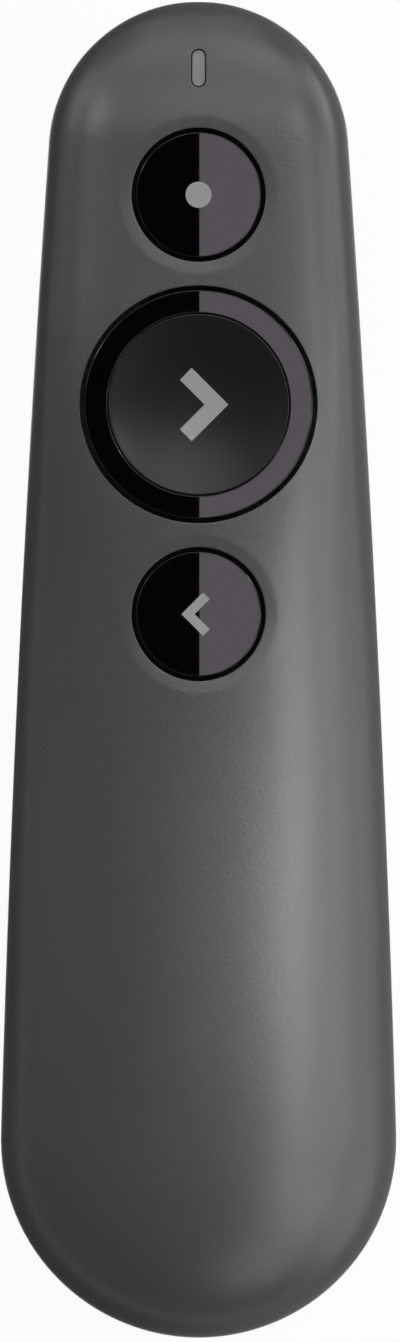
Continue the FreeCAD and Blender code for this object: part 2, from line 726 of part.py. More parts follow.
def make_laser():
    """Barrel with its lens and diode, the leads to the board and the window in the nose."""
    rear_y = f"({BARREL_Y} - barrel_length)"
    axis = ("0", rear_y, "laser_height")
    keep("laser_barrel", turned("laser_barrel", [
        ("barrel_bore", "0"), ("barrel_radius", "0"), ("barrel_radius", "barrel_length"),
        ("barrel_bore", "barrel_length")], axis, TO_NOSE))
    disc = rod("lens_disc", "lens_radius", "lens_thickness",
               ("0", f"{BARREL_Y} - lens_inset - lens_thickness", "laser_height"), TO_NOSE)
    curve = "((lens_radius ^ 2 + lens_bulge ^ 2) / (2 * lens_bulge))"
    bulge = ball("lens_ball", curve, ("0", f"{BARREL_Y} - lens_inset - {curve}", "laser_height"))
    keep("laser_lens", common("laser_lens", disc, bulge))
    keep("laser_diode", turned("laser_diode", [
        ("0", "-diode_flange_height"), ("diode_flange_radius", "-diode_flange_height"),
        ("diode_flange_radius", "0"), ("diode_can_radius", "0"),
        ("diode_can_radius", "diode_can_height"), ("0", "diode_can_height")], axis, TO_NOSE))
    leads = []
    flange_y = f"({rear_y} - diode_flange_height)"
    for side in (-1, 1):
        x = f"{side} * diode_lead_x"
        along = rod("lead_run", "diode_lead_radius", "diode_lead_run",
                    (x, f"{flange_y} - diode_lead_run", "laser_height"), TO_NOSE)
        upright = rod("lead_rise", "diode_lead_radius",
                      f"{BOARD_UNDER} - laser_height + diode_lead_radius",
                      (x, f"{flange_y} - diode_lead_run", "laser_height - diode_lead_radius"))
        leads.append(fuse("laser_lead", along, upright))
    keep("laser_leads", group("laser_leads", *leads))
    blank = rod("window_blank", "window_radius", "window_length",
                ("0", f"{NOSE} - window_length", "laser_height"), TO_NOSE)
    keep("laser_window", common("laser_window", blank, window_form))


def top_edges(radius, height):
    """A test for the round edge of this radius at this height."""
    def wanted(edge):
        extent = edge.BoundBox
        offsets = (extent.ZMax - height, extent.ZMin - height, extent.XMax - radius)
        return all(abs(offset) < SAME_PLACE for offset in offsets)
    return wanted


def cap_profile(radius, wall_radius):
    """Profile of a hollow cap, measured down from its top face."""
    return [("0", "0"), (radius, "0"), (radius, "cap_flange_height - cap_skirt"),
            (f"{radius} + cap_flange", "cap_flange_height - cap_skirt"),
            (f"{radius} + cap_flange", "-cap_skirt"), (wall_radius, "-cap_skirt"),
            (wall_radius, "-cap_plate"), ("0", "-cap_plate")]


def sign_outline(width, arm, tip, towards):
    """An arrowhead of two square-cut arms at right angles, its point to the right or left."""
    rise = f"{arm} / sqrt(2)"
    thick = f"{width} / sqrt(2)"
    half = [(tip, "0"), (f"{tip} - {rise}", rise), (f"{tip} - {rise} - {thick}", f"{rise} - {thick}"),
            (f"{tip} - 2 * {thick}", "0"), (f"{tip} - {rise} - {thick}", f"{thick} - {rise}"),
            (f"{tip} - {rise}", f"-{rise}")]
    return [(f"{towards} * ({x})", y) for x, y in half]


def make_small_buttons():
    """The laser button with its dot and the back button with its arrow."""
    signs = {
        "laser": rod("laser_button_dot", "dot_radius", "icon_depth",
                     ("0", LASER_Y, f"{SMALL_TOP} - icon_depth")),
        "back": plate("back_button_sign",
                      sign_outline("back_sign_width", "back_sign_arm", "back_sign_tip", "-1"),
                      "icon_depth", ("0", BACK_Y, f"{SMALL_TOP} - icon_depth")),
    }
    labels = {"laser": "laser_button_dot", "back": "back_button_sign"}
    for name, y in (("laser", LASER_Y), ("back", BACK_Y)):
        cap = turned(f"{name}_cap", cap_profile("small_cap_radius", "small_cap_radius - cap_skirt_wall"),
                     ("0", y, SMALL_TOP))
        round_edges(cap, "edge_round", top_edges(size("small_cap_radius"), 0))
        stem = rod(f"{name}_stem", "stem_radius", f"{SMALL_TOP} - cap_plate - {PLUNGER_TOP}",
                   ("0", y, PLUNGER_TOP))
        whole = fuse(f"{name}_cap_and_stem", cap, stem)
        keep(f"{name}_button_cap", cut(f"{name}_button_cap", whole, signs[name]))
        keep(labels[name], signs[name])


def make_next_button():
    """The large button: a glossy ring around a hollowed thumb pad with its arrow."""
    ring = turned("next_ring", [
        ("pad_radius + pad_fit", "0"), ("ring_radius", "0"), ("ring_radius", "-cap_skirt"),
        ("ring_radius - cap_skirt_wall", "-cap_skirt"), ("ring_radius - cap_skirt_wall", "-ring_plate"),
        ("pad_radius + pad_fit", "-ring_plate")], ("0", NEXT_Y, RING_TOP))
    round_edges(ring, "edge_round", top_edges(size("ring_radius"), 0))
    tabs = []
    for end in (-1, 1):
        low_y = "ring_radius - cap_skirt_wall" if end > 0 else "-(ring_radius + ring_tab_reach)"
        tabs.append(box("ring_tab", ("ring_tab_width", "cap_skirt_wall + ring_tab_reach",
                                     "cap_flange_height"),
                        ("-ring_tab_width / 2", f"{NEXT_Y} + {low_y}", f"{RING_TOP} - cap_skirt")))
    core = rod("ring_inside", "ring_radius - cap_skirt_wall", "cap_skirt",
               ("0", NEXT_Y, f"{RING_TOP} - cap_skirt - ring_plate"))
    keep("next_button_ring", fuse("next_button_ring", ring, cut("ring_tabs", fuse("tab_pair", *tabs), core)))
    pad_low = f"({PAD_RIM} - pad_height)"
    flange_top = f"({RING_TOP} - ring_plate - {pad_low})"
    pad_blank = turned("pad_blank", [
        ("0", "0"), ("pad_radius + pad_flange", "0"), ("pad_radius + pad_flange", flange_top),
        ("pad_radius", flange_top), ("pad_radius", "pad_height"), ("0", "pad_height")],
        ("0", NEXT_Y, pad_low))
    stem = rod("next_stem", "stem_radius", f"{pad_low} - {PLUNGER_TOP}", ("0", NEXT_Y, PLUNGER_TOP))
    centre = ("0", NEXT_Y, f"{PAD_RIM} - pad_hollow + {PAD_CURVE}")
    thumb = ball("thumb_hollow", PAD_CURVE, centre)
    inlay_ball = ball("sign_floor", f"{PAD_CURVE} + icon_depth", centre)
    prism = plate("next_sign_prism",
                  sign_outline("next_sign_width", "next_sign_arm", "next_sign_tip", "1"),
                  "pad_height", ("0", NEXT_Y, pad_low))
    room = common("next_sign_room", prism, inlay_ball)
    keep("next_button_sign", cut("next_button_sign", room, thumb))
    keep("next_button_pad", cut("next_button_pad", fuse("pad_and_stem", pad_blank, stem), thumb, room))


def make_power():
    """Two cells head to tail with the springs and plates that touch them."""
    can = [("0", "0"), ("cell_radius - cell_edge", "0"), ("cell_radius", "cell_edge"),
           ("cell_radius", f"{CELL_LENGTH} - cell_nub_height - cell_edge"),
           ("cell_radius - cell_edge", f"{CELL_LENGTH} - cell_nub_height"),
           ("cell_nub_radius", f"{CELL_LENGTH} - cell_nub_height"),
           ("cell_nub_radius", CELL_LENGTH), ("0", CELL_LENGTH)]
    coil = [("spring_base_radius - spring_wire", "0"), ("spring_base_radius", "0"),
            ("spring_tip_radius", "spring_length"), ("spring_tip_radius - spring_wire", "spring_length")]
    cells = (("battery_left", "tail_spring", -1, BAY_REAR_Y, TO_NOSE, "spring_length"),
             ("battery_right", "front_spring", 1, BAY_Y, TO_TAIL, "-spring_length"))
    for cell, spring, side, plate_y, turn, offset in cells:
        x = f"{side} * cell_x"
        keep(cell, turned(cell, can, (x, f"{plate_y} + {offset}", "cell_height"), turn))
        keep(spring, turned(spring, coil, (x, plate_y, "cell_height"), turn))
    tab_top = f"({BOARD_UNDER} - cell_height)"
    tee = [("-contact_half_width", "-contact_half_height"), ("contact_half_width", "-contact_half_height"),
           ("contact_half_width", "contact_half_height"), ("contact_tab_half", "contact_half_height"),
           ("contact_tab_half", tab_top), ("-contact_tab_half", tab_top),
           ("-contact_tab_half", "contact_half_height"), ("-contact_half_width", "contact_half_height")]
    for name, side in (("positive_contact", -1), ("negative_contact", 1)):
        keep(name, plate(name, tee, "contact_thickness",
                         (f"{side} * cell_x", f"{BAY_Y} + contact_thickness", "cell_height"), "XZ_Plane"))
    bridge = [("-(cell_x + contact_half_width)", "-contact_half_height / 2"),
              ("cell_x + contact_half_width", "-contact_half_height / 2"),
              ("cell_x + contact_half_width", "contact_half_height"),
              ("-(cell_x + contact_half_width)", "contact_half_height")]
    keep("bridge_contact", plate("bridge_contact", bridge, "contact_thickness",
                                 ("0", BAY_REAR_Y, "cell_height"), "XZ_Plane"))


def make_receiver():
    """Radio receiver with its plug, stored crosswise in front of the batteries."""
    left = "-receiver_length / 2"
    middle_z = "(receiver_height + receiver_thickness / 2)"
    middle_y = f"({RECEIVER_Y} + receiver_width / 2)"
    plug_x = f"({left} + housing_length)"
    plug_length = "(receiver_length - housing_length)"
    keep("receiver_housing", box("receiver_housing", ("housing_length", "receiver_width", "receiver_thickness"),
                                 (left, RECEIVER_Y, "receiver_height")))
    outer = box("plug_outer", (plug_length, "plug_width", "plug_thickness"),
                (plug_x, f"{middle_y} - plug_width / 2", f"{middle_z} - plug_thickness / 2"))
    inner = box("plug_inner", (plug_length, "plug_width - 2 * plug_wall", "plug_thickness - 2 * plug_wall"),
                (plug_x, f"{middle_y} - plug_width / 2 + plug_wall",
                 f"{middle_z} - plug_thickness / 2 + plug_wall"))
    keep("receiver_plug", cut("receiver_plug", outer, inner))
    keep("receiver_tongue", box("receiver_tongue", (f"{plug_length} - plug_tongue_setback",
                                                    "plug_width - 2 * plug_wall", "plug_tongue_thickness"),
                                (plug_x, f"{middle_y} - plug_width / 2 + plug_wall",
                                 f"{middle_z} - plug_thickness / 2 + plug_wall")))


def make_screws():
    """Pan-head screws: four hold the board, two the case and two the front of the tray."""
    outline = [("0", "-screw_head_height"), ("screw_head_radius", "-screw_head_height"),
               ("screw_head_radius", "0"), ("screw_radius", "0"), ("screw_radius", "screw_length"),
               ("0", "screw_length")]
    board = [turned("board_screw", outline,
                    (f"{side} * board_boss_x", f"{NEXT_Y} + {end} * board_boss_reach", BOARD_UNDER))
             for side in (-1, 1) for end in (-1, 1)]
    case = [turned("case_screw", outline,
                   (f"{side} * case_screw_x", CASE_SCREW_Y, f"{LUG_TOP} - case_lug_height"))
            for side in (-1, 1)]
    tray = [turned("tray_screw", outline,
                   (f"{side} * post_x", POST_Y, f"{RECEIVER_CEILING} + tray_wall"), DOWN)
            for side in (-1, 1)]
    keep("board_screws", group("board_screws", *board))
    keep("case_screws", group("case_screws", *case))
    keep("tray_screws", group("tray_screws", *tray))


make_top_shell()
make_bottom_shell()
make_battery_door()
make_battery_tray()
make_board()
make_light_pipe()
make_laser()
make_small_buttons()
make_next_button()
make_power()
make_receiver()
make_screws()

document.recompute()
for item in document.Objects:
    if {"Invalid", "Error"} & set(item.State):
        raise SystemExit(f"{item.Label} did not build: {item.State}")
os.makedirs("parts", exist_ok=True)
for label, item in pieces.items():
    shape = item.Shape
    if shape.isNull() or not shape.isValid() or not shape.Solids:
        raise SystemExit(f"{label} has no valid solid")
    shape.exportStep(f"parts/{label}.step")
    extent = shape.BoundBox
    print(f"{label:24s} solids {len(shape.Solids)}  volume {shape.Volume:9.2f}  "
          f"x {extent.XMin:7.2f} {extent.XMax:7.2f}  y {extent.YMin:7.2f} {extent.YMax:7.2f}  "
          f"z {extent.ZMin:6.2f} {extent.ZMax:6.2f}")
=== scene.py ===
"""Looks of the wireless presentation clicker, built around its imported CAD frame.

Lengths in the classes are millimetres, as in the part's source; a mesh is scaled to metres
once, when it is made. +Z points out of the button face, +Y to the nose with the laser.
"""

import logging
import math
from collections.abc import Callable
from dataclasses import dataclass
from enum import Enum

import bmesh
import bpy
import numpy as np
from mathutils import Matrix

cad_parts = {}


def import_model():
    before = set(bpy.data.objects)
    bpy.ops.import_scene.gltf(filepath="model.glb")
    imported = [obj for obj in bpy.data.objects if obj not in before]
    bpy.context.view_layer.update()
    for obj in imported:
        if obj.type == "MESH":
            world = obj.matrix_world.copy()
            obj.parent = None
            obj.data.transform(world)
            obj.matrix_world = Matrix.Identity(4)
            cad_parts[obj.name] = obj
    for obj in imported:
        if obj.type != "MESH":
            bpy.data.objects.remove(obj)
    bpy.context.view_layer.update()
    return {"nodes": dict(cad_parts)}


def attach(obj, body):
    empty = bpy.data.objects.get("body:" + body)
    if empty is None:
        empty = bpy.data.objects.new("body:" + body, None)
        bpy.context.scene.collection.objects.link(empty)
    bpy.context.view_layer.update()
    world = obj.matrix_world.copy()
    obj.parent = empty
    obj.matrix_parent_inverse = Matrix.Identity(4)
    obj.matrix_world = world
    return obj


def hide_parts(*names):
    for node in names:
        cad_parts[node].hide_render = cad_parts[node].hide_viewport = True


MM = 0.001
WELD = 2e-6
TINY = 1e-9
HALVINGS = 44
QUARTER = math.pi / 2
MIRROR = np.array([-1.0, 1.0, 1.0])
SIDES = (-1, 1)

# Places and sizes that several pieces share, in millimetres.
BOARD_SCREWS = tuple((side * 10.3, y) for side in SIDES for y in (13.5, 38.3))
CASE_SCREWS = tuple((side * 4.5, -58.0) for side in SIDES)
TRAY_SCREWS = tuple((side * 9.0, 13.6) for side in SIDES)
PILOT_RADIUS = 0.96
LASER_Z = 13.0
INDICATOR_Y, INDICATOR_HALF = 58.77, 1.15
LASER_BUTTON_Y, NEXT_BUTTON_Y, BACK_BUTTON_Y = 46.37, 25.9, 5.43
CELL_X, CELL_Z = 5.3, 8.8

Mesh = bpy.types.Mesh
Material = bpy.types.Material
Object = bpy.types.Object
Node = bpy.types.Node
Socket = bpy.types.NodeSocket
Tree = bpy.types.NodeTree
Pair = tuple[float, float]
Triple = tuple[float, float, float]
Corners = tuple[Triple, Triple]
Outline = list[Triple]

log = logging.getLogger("clicker")


def ease(share: np.ndarray) -> np.ndarray:
    """Ease from 0 to 1: s squared times (3 - 2 s), held at both ends."""
    s = np.clip(share, 0.0, 1.0)
    return s * s * (3.0 - 2.0 * s)


def blend(first: np.ndarray, last: np.ndarray, share: np.ndarray) -> np.ndarray:
    """Straight mix of two arrays: first where share is 0, last where it is 1."""
    return first + (last - first) * share


def sideways(t: np.ndarray, top: np.ndarray) -> np.ndarray:
    """Share of the half width at a curve parameter: (1-t)^3 + 3 (1-t)^2 t + 3 top (1-t) t^2."""
    return (1 - t) ** 3 + 3 * (1 - t) ** 2 * t + 3 * top * (1 - t) * t**2


def upwards(t: np.ndarray, side: np.ndarray) -> np.ndarray:
    """Share of the reach at a curve parameter: 3 side (1-t)^2 t + 3 (1-t) t^2 + t^3."""
    return 3 * side * (1 - t) ** 2 * t + 3 * (1 - t) * t**2 + t**3


class Half(Enum):
    """The two halves of the case."""

    UPPER = 1
    LOWER = -1


@dataclass(frozen=True)
class CaseForm:
    """The smooth outer form of the case, and the same form moved inwards by an inset."""

    length: float = 131.0
    nose: float = 14.7
    tail: float = 19.4
    side: float = 2350.0
    split: float = 16.9
    deck_crown: float = 7.6
    grip_crown: float = 9.1
    crown_run: float = 42.0
    soften_y: float = 36.135
    soften_run: float = 34.0
    rise_y: float = -2.26
    nose_depth: float = 9.9
    belly_depth: float = 17.4
    belly_run: float = 40.0
    wall: float = 1.8
    end_power: float = 2.3
    deck_shares: Pair = (0.80, 0.95)
    grip_shares: Pair = (0.58, 0.56)
    belly_shares: Pair = (0.62, 0.62)

    @property
    def nose_y(self) -> float:
        """Centre of the nose arc."""
        return self.length / 2 - self.nose

    @property
    def tail_y(self) -> float:
        """Centre of the tail arc."""
        return self.tail - self.length / 2

    def side_arc(self) -> tuple[float, float, float, float]:
        """Centre of the long side arc and its two end angles.

        The arc touches the nose and tail circles from outside, so its centre lies
        side - nose from the one centre and side - tail from the other.

        Returns:
            Centre x, centre y, angle at the nose, angle at the tail.
        """
        reach_nose, reach_tail = self.side - self.nose, self.side - self.tail
        y = reach_nose**2 - reach_tail**2 - self.nose_y**2 + self.tail_y**2
        y /= 2 * (self.tail_y - self.nose_y)
        x = -math.sqrt(reach_nose**2 - (y - self.nose_y) ** 2)
        return x, y, math.atan2(self.nose_y - y, -x), math.atan2(self.tail_y - y, -x)

    def arc(self, y: np.ndarray, inset: float = 0.0) -> tuple[np.ndarray, ...]:
        """Radius and centre of the arc that each place lies on, on the outline moved inwards.

        Args:
            y: Places along the outline.
            inset: How far inwards the outline is moved.

        Returns:
            Radius, centre x and centre y for each place.
        """
        centre_x, centre_y, front, rear = self.side_arc()
        on_nose = y > self.nose_y + (self.nose - inset) * math.sin(front)
        on_tail = y < self.tail_y + (self.tail - inset) * math.sin(rear)
        radius = np.where(on_nose, self.nose, np.where(on_tail, self.tail, self.side)) - inset
        middle_x = np.where(on_nose | on_tail, 0.0, centre_x)
        middle_y = np.where(on_nose, self.nose_y, np.where(on_tail, self.tail_y, centre_y))
        return radius, middle_x, middle_y

    def outline(self, y: np.ndarray, inset: float) -> tuple[np.ndarray, np.ndarray]:
        """The outline's right-hand point that belongs to a place on the outer outline.

        Every place y on the outer outline lies on one of three arcs. Its point on the
        inset outline is on the same ray from that arc's centre, nearer by the inset.

        Args:
            y: Places along the outer outline.
            inset: How far inwards to go.

        Returns:
            Half width and place of each point.
        """
        radius, middle_x, middle_y = self.arc(y)
        sine = np.clip((y - middle_y) / radius, -1.0, 1.0)
        cosine = np.sqrt(1.0 - sine**2)
        near = radius - inset
        return np.maximum(middle_x + near * cosine, 0.0), middle_y + near * sine

    def half_width(self, y: np.ndarray, inset: float = 0.0) -> np.ndarray:
        """Half width at a place: square root of radius squared less the offset squared, per arc.

        Args:
            y: Places along the case.
            inset: Distance inwards.

        Returns:
            Half width at each place.
        """
        radius, middle_x, middle_y = self.arc(y, inset)
        rise = np.sqrt(np.maximum(radius**2 - (y - middle_y) ** 2, 0.0))
        return np.maximum(middle_x + rise, 0.0)

    def section(self, half: Half, y: np.ndarray, inset: float) -> tuple[np.ndarray, ...]:
        """Reach of a cross section above or below the split, and its two handle shares.

        The full height eases from the nose value to the grip value, and falls off over
        the round ends as (1 - out^p)^(1/p).

        Args:
            half: Which half of the case.
            y: Places along the case.
            inset: How far inwards the form is moved.

        Returns:
            Signed reach, side share and top share.
        """
        if half is Half.UPPER:
            mix = ease((self.soften_y - y) / self.soften_run)
            rise = ease((self.rise_y - y) / self.crown_run)
            full = blend(self.deck_crown, self.grip_crown, rise)
            side = blend(self.deck_shares[0], self.grip_shares[0], mix)
            top = blend(self.deck_shares[1], self.grip_shares[1], mix)
        else:
            deepen = ease((self.nose_y - y) / self.belly_run)
            full = blend(self.nose_depth, self.belly_depth, deepen)
            side = np.full_like(y, self.belly_shares[0])
            top = np.full_like(y, self.belly_shares[1])
        beyond_nose = (y - self.nose_y) / (self.nose - inset)
        beyond_tail = (self.tail_y - y) / (self.tail - inset)
        out = np.clip(np.maximum(beyond_nose, beyond_tail), 0.0, 1.0)
        fall = (1.0 - out**self.end_power) ** (1.0 / self.end_power)
        return (full - inset) * fall * half.value, side, top

    def along(self, share: np.ndarray, top: np.ndarray) -> np.ndarray:
        """Curve parameter at which a section is this share of its half width from the middle.

        Solves sideways(t, top) = share for t by halving, on whole arrays at once.

        Args:
            share: Distance from the middle over half width, 1 at the side.
            top: Share of the half width at which the upper handle lies.

        Returns:
            The parameter, 0 at the side and 1 in the middle.
        """
        share, top = np.broadcast_arrays(share, top)
        low, high = np.zeros(share.shape), np.ones(share.shape)
        for _ in range(HALVINGS):
            t = (low + high) / 2
            short = sideways(t, top) > share
            low, high = np.where(short, t, low), np.where(short, high, t)
        return (low + high) / 2

    def points(self, half: Half, y: np.ndarray, t: np.ndarray, inset: float = 0.0) -> np.ndarray:
        """Points of the right-hand side of the form at places y and curve parameters t.

        x = half width times sideways(t, top), z = split + reach times upwards(t, side).

        Args:
            half: Which half of the case.
            y: Places, same shape as t.
            t: Curve parameter, 0 at the side and 1 in the middle.
            inset: How far inwards the form is moved.

        Returns:
            Array of points, shape of t with 3 added.
        """
        width = self.half_width(y, inset)
        reach, side, top = self.section(half, y, inset)
        z = self.split + reach * upwards(t, side)
        return np.stack([width * sideways(t, top), y, z], axis=-1)

    def height(self, half: Half, x: np.ndarray, y: np.ndarray, inset: float = 0.0) -> np.ndarray:
        """Height of the form over a place (x, y), from the section's curve there.

        Args:
            half: Which half of the case.
            x: Places across.
            y: Places along.
            inset: Distance inwards.

        Returns:
            Heights.
        """
        share = np.clip(np.abs(x) / np.maximum(self.half_width(y, inset), TINY), 0.0, 1.0)
        reach, side, top = self.section(half, y, inset)
        return self.split + reach * upwards(self.along(share, top), side)


class Sheet:
    """A closed surface gathered from grids of points that share their borders."""

    def __init__(self) -> None:
        """Start with no grids."""
        self.points: list[np.ndarray] = []
        self.quads: list[np.ndarray] = []
        self.count = 0

    def add(self, grid: np.ndarray, wrap: bool = False) -> None:
        """Add a grid of points as quads.

        Args:
            grid: Points, rows by columns by 3, in millimetres.
            wrap: Join the last column to the first.
        """
        rows, columns = grid.shape[:2]
        index = np.arange(rows * columns).reshape(rows, columns) + self.count
        if wrap:
            index = np.concatenate([index, index[:, :1]], axis=1)
        corners = (index[:-1, :-1], index[:-1, 1:], index[1:, 1:], index[1:, :-1])
        self.quads.append(np.stack(corners, axis=-1).reshape(-1, 4))
        self.points.append(grid.reshape(-1, 3))
        self.count += rows * columns

    def mirrored(self, grid: np.ndarray) -> None:
        """Add a grid and its mirror image across the middle plane."""
        self.add(grid)
        self.add(grid * MIRROR)

    def mesh(self, name: str) -> Mesh:
        """Make the mesh in metres, weld shared borders and point all faces outwards.

        Args:
            name: Name of the mesh.

        Returns:
            The welded mesh.
        """
        points = np.concatenate(self.points) * MM
        quads = np.concatenate(self.quads).astype(np.int32)
        mesh = bpy.data.meshes.new(name)
        mesh.vertices.add(len(points))
        mesh.vertices.foreach_set("co", points.astype(np.float32).ravel())
        mesh.loops.add(quads.size)
        mesh.loops.foreach_set("vertex_index", quads.ravel())
        mesh.polygons.add(len(quads))
        mesh.polygons.foreach_set("loop_start", np.arange(0, quads.size, 4, dtype=np.int32))
        mesh.update(calc_edges=True)
        work = bmesh.new()
        work.from_mesh(mesh)
        bmesh.ops.remove_doubles(work, verts=work.verts, dist=WELD)
        bmesh.ops.dissolve_degenerate(work, edges=work.edges, dist=WELD / 4)
        bmesh.ops.recalc_face_normals(work, faces=work.faces)
        work.to_mesh(mesh)
        work.free()
        return mesh


def linked(name: str, data: bpy.types.ID) -> Object:
    """A new object in the scene that holds some data.

    Args:
        name: Name of the object.
        data: What it holds.

    Returns:
        The object.
    """
    made = bpy.data.objects.new(name, data)
    bpy.context.scene.collection.objects.link(made)
    return made


def soften(mesh: Mesh, crease: float) -> None:
    """Shade a mesh smooth, with sharp edges where faces meet at more than this angle in degrees.

    Args:
        mesh: The mesh.
        crease: Angle of a sharp edge, in degrees.
    """
    mesh.polygons.foreach_set("use_smooth", np.ones(len(mesh.polygons), bool))
    mesh.set_sharp_from_angle(angle=math.radians(crease))
    mesh.update()


def shown(mesh: Mesh, material: Material, crease: float = 35.0) -> Object:
    """Put a finished mesh in the scene.

    Args:
        mesh: The mesh, in metres, with its place in its points.
        material: What it is made of.
        crease: Angle in degrees past which an edge stays sharp.

    Returns:
        The object, which sits at the origin.
    """
    soften(mesh, crease)
    mesh.materials.clear()
    mesh.materials.append(material)
    return linked(mesh.name, mesh)


def carved(body: Mesh, tool: Mesh, how: str) -> Mesh:
    """Cut one closed mesh with another.

    Args:
        body: The mesh that is kept.
        tool: The mesh that cuts it.
        how: DIFFERENCE, INTERSECT or UNION.

    Returns:
        A new mesh under the body's name.
    """
    holders = [linked("carve_work", data) for data in (body, tool)]
    step = holders[0].modifiers.new("carve", "BOOLEAN")
    step.operation, step.solver, step.object = how, "EXACT", holders[1]
    graph = bpy.context.evaluated_depsgraph_get()
    graph.update()
    made = bpy.data.meshes.new_from_object(holders[0].evaluated_get(graph))
    for holder in holders:
        bpy.data.objects.remove(holder)
    name = body.name
    bpy.data.meshes.remove(body)
    bpy.data.meshes.remove(tool)
    made.name = name
    return made


def joined(name: str, meshes: list[Mesh]) -> Mesh:
    """Several closed meshes as islands of one mesh.

    Args:
        name: Name of the mesh.
        meshes: The meshes.

    Returns:
        The mesh.
    """
    work = bmesh.new()
    for mesh in meshes:
        work.from_mesh(mesh)
    made = bpy.data.meshes.new(name)
    work.to_mesh(made)
    work.free()
    for mesh in meshes:
        bpy.data.meshes.remove(mesh)
    return made


def turned(corners: np.ndarray, segments: int) -> np.ndarray:
    """A turned surface: each (radius, height) corner swept round as (r cos a, r sin a, h).

    Args:
        corners: Corners of the profile.
        segments: Steps round the axis.

    Returns:
        Grid of points.
    """
    angle = np.linspace(0.0, math.tau, segments, endpoint=False)
    radius, height = corners[:, :1], corners[:, 1:]
    return np.stack([radius * np.cos(angle), radius * np.sin(angle),
                     np.broadcast_to(height, (len(corners), segments))], axis=-1)


def filleted(corners: Outline, steps: int = 6, hold: float = 0.04) -> np.ndarray:
    """An outline with rounded corners and holding points beside each rounding.

    A corner with radius r is replaced by points of the arc that touches both its sides,
    at distance r / tan(half the corner's angle) from the corner.

    Args:
        corners: (radius, height, rounding) of each corner; the first and last stay sharp.
        steps: Pieces of each arc.
        hold: Distance of the holding points from the arc's ends.

    Returns:
        Array of (radius, height) points.
    """
    made = [np.array([corners[0][:2]])]
    for before, here, after in zip(corners, corners[1:], corners[2:]):
        corner, rounding = np.array(here[:2]), here[2]
        back, ahead = np.array(before[:2]) - corner, np.array(after[:2]) - corner
        back_length, ahead_length = np.linalg.norm(back), np.linalg.norm(ahead)
        back, ahead = back / back_length, ahead / ahead_length
        if rounding <= 0:
            made.append(corner[None])
            continue
        turn = math.acos(float(np.clip(back @ ahead, -1, 1)))
        cut = rounding / math.tan(turn / 2)
        middle = (back + ahead) / np.linalg.norm(back + ahead)
        centre = corner + middle * rounding / math.sin(turn / 2)
        start, end = corner + back * cut - centre, corner + ahead * cut - centre
        share = np.linspace(0.0, 1.0, steps + 1)[:, None]
        spread = math.pi - turn
        arc = start * np.sin((1 - share) * spread) + end * np.sin(share * spread)
        arc = arc / math.sin(spread)
        made.append((corner + back * min(cut + hold, (cut + back_length) / 2))[None])
        made.append(centre + arc)
        made.append((corner + ahead * min(cut + hold, (cut + ahead_length) / 2))[None])
    made.append(np.array([corners[-1][:2]]))
    return np.concatenate(made)


def block(name: str, low: Triple, high: Triple, rounding: float = 0.0) -> Mesh:
    """A block between two corners, with its edges bevelled by a rounding.

    Args:
        name: Name of the mesh.
        low: Lowest corner.
        high: Highest corner.
        rounding: Width of the bevel.

    Returns:
        The mesh.
    """
    work = bmesh.new()
    bmesh.ops.create_cube(work, size=1.0)
    low_m, high_m = np.array(low) * MM, np.array(high) * MM
    for vertex in work.verts:
        vertex.co = (low_m + high_m) / 2 + np.array(vertex.co) * (high_m - low_m)
    if rounding:
        bmesh.ops.bevel(work, geom=work.edges[:], offset=rounding * MM, segments=3,
                        profile=0.5, affect="EDGES")
    mesh = bpy.data.meshes.new(name)
    work.to_mesh(mesh)
    work.free()
    return mesh


class Axis(Enum):
    """Directions in which turned pieces can point."""

    UP = ((1, 0, 0), (0, 1, 0), (0, 0, 1))
    DOWN = ((1, 0, 0), (0, -1, 0), (0, 0, -1))
    TO_NOSE = ((1, 0, 0), (0, 0, -1), (0, 1, 0))
    TO_TAIL = ((1, 0, 0), (0, 0, 1), (0, -1, 0))

    def turn(self, grid: np.ndarray, at: Triple) -> np.ndarray:
        """Turn a grid made upright so that its height runs this way, and move it to a place."""
        return grid @ np.array(self.value, float) + np.array(at)


def closed(name: str, *grids: np.ndarray) -> Mesh:
    """A mesh of closed grids, each with its last column joined to its first.

    Args:
        name: Name of the mesh.
        grids: Grids of points.

    Returns:
        The mesh.
    """
    sheet = Sheet()
    for grid in grids:
        sheet.add(grid, wrap=True)
    return sheet.mesh(name)


def lathe(name: str, outline: np.ndarray, at: Triple, axis: Axis = Axis.UP,
          segments: int = 128) -> Mesh:
    """A turned mesh: an outline of (radius, height) points swept round an axis at a place."""
    return closed(name, axis.turn(turned(outline, segments), at))


def rod(name: str, radius: float, length: float, at: Triple, axis: Axis = Axis.UP,
        segments: int = 48) -> Mesh:
    """A plain cylinder that starts at a place and runs along an axis."""
    outline = np.array([(0.0, 0.0), (radius, 0.0), (radius, length), (0.0, length)])
    return lathe(name, outline, at, axis, segments)


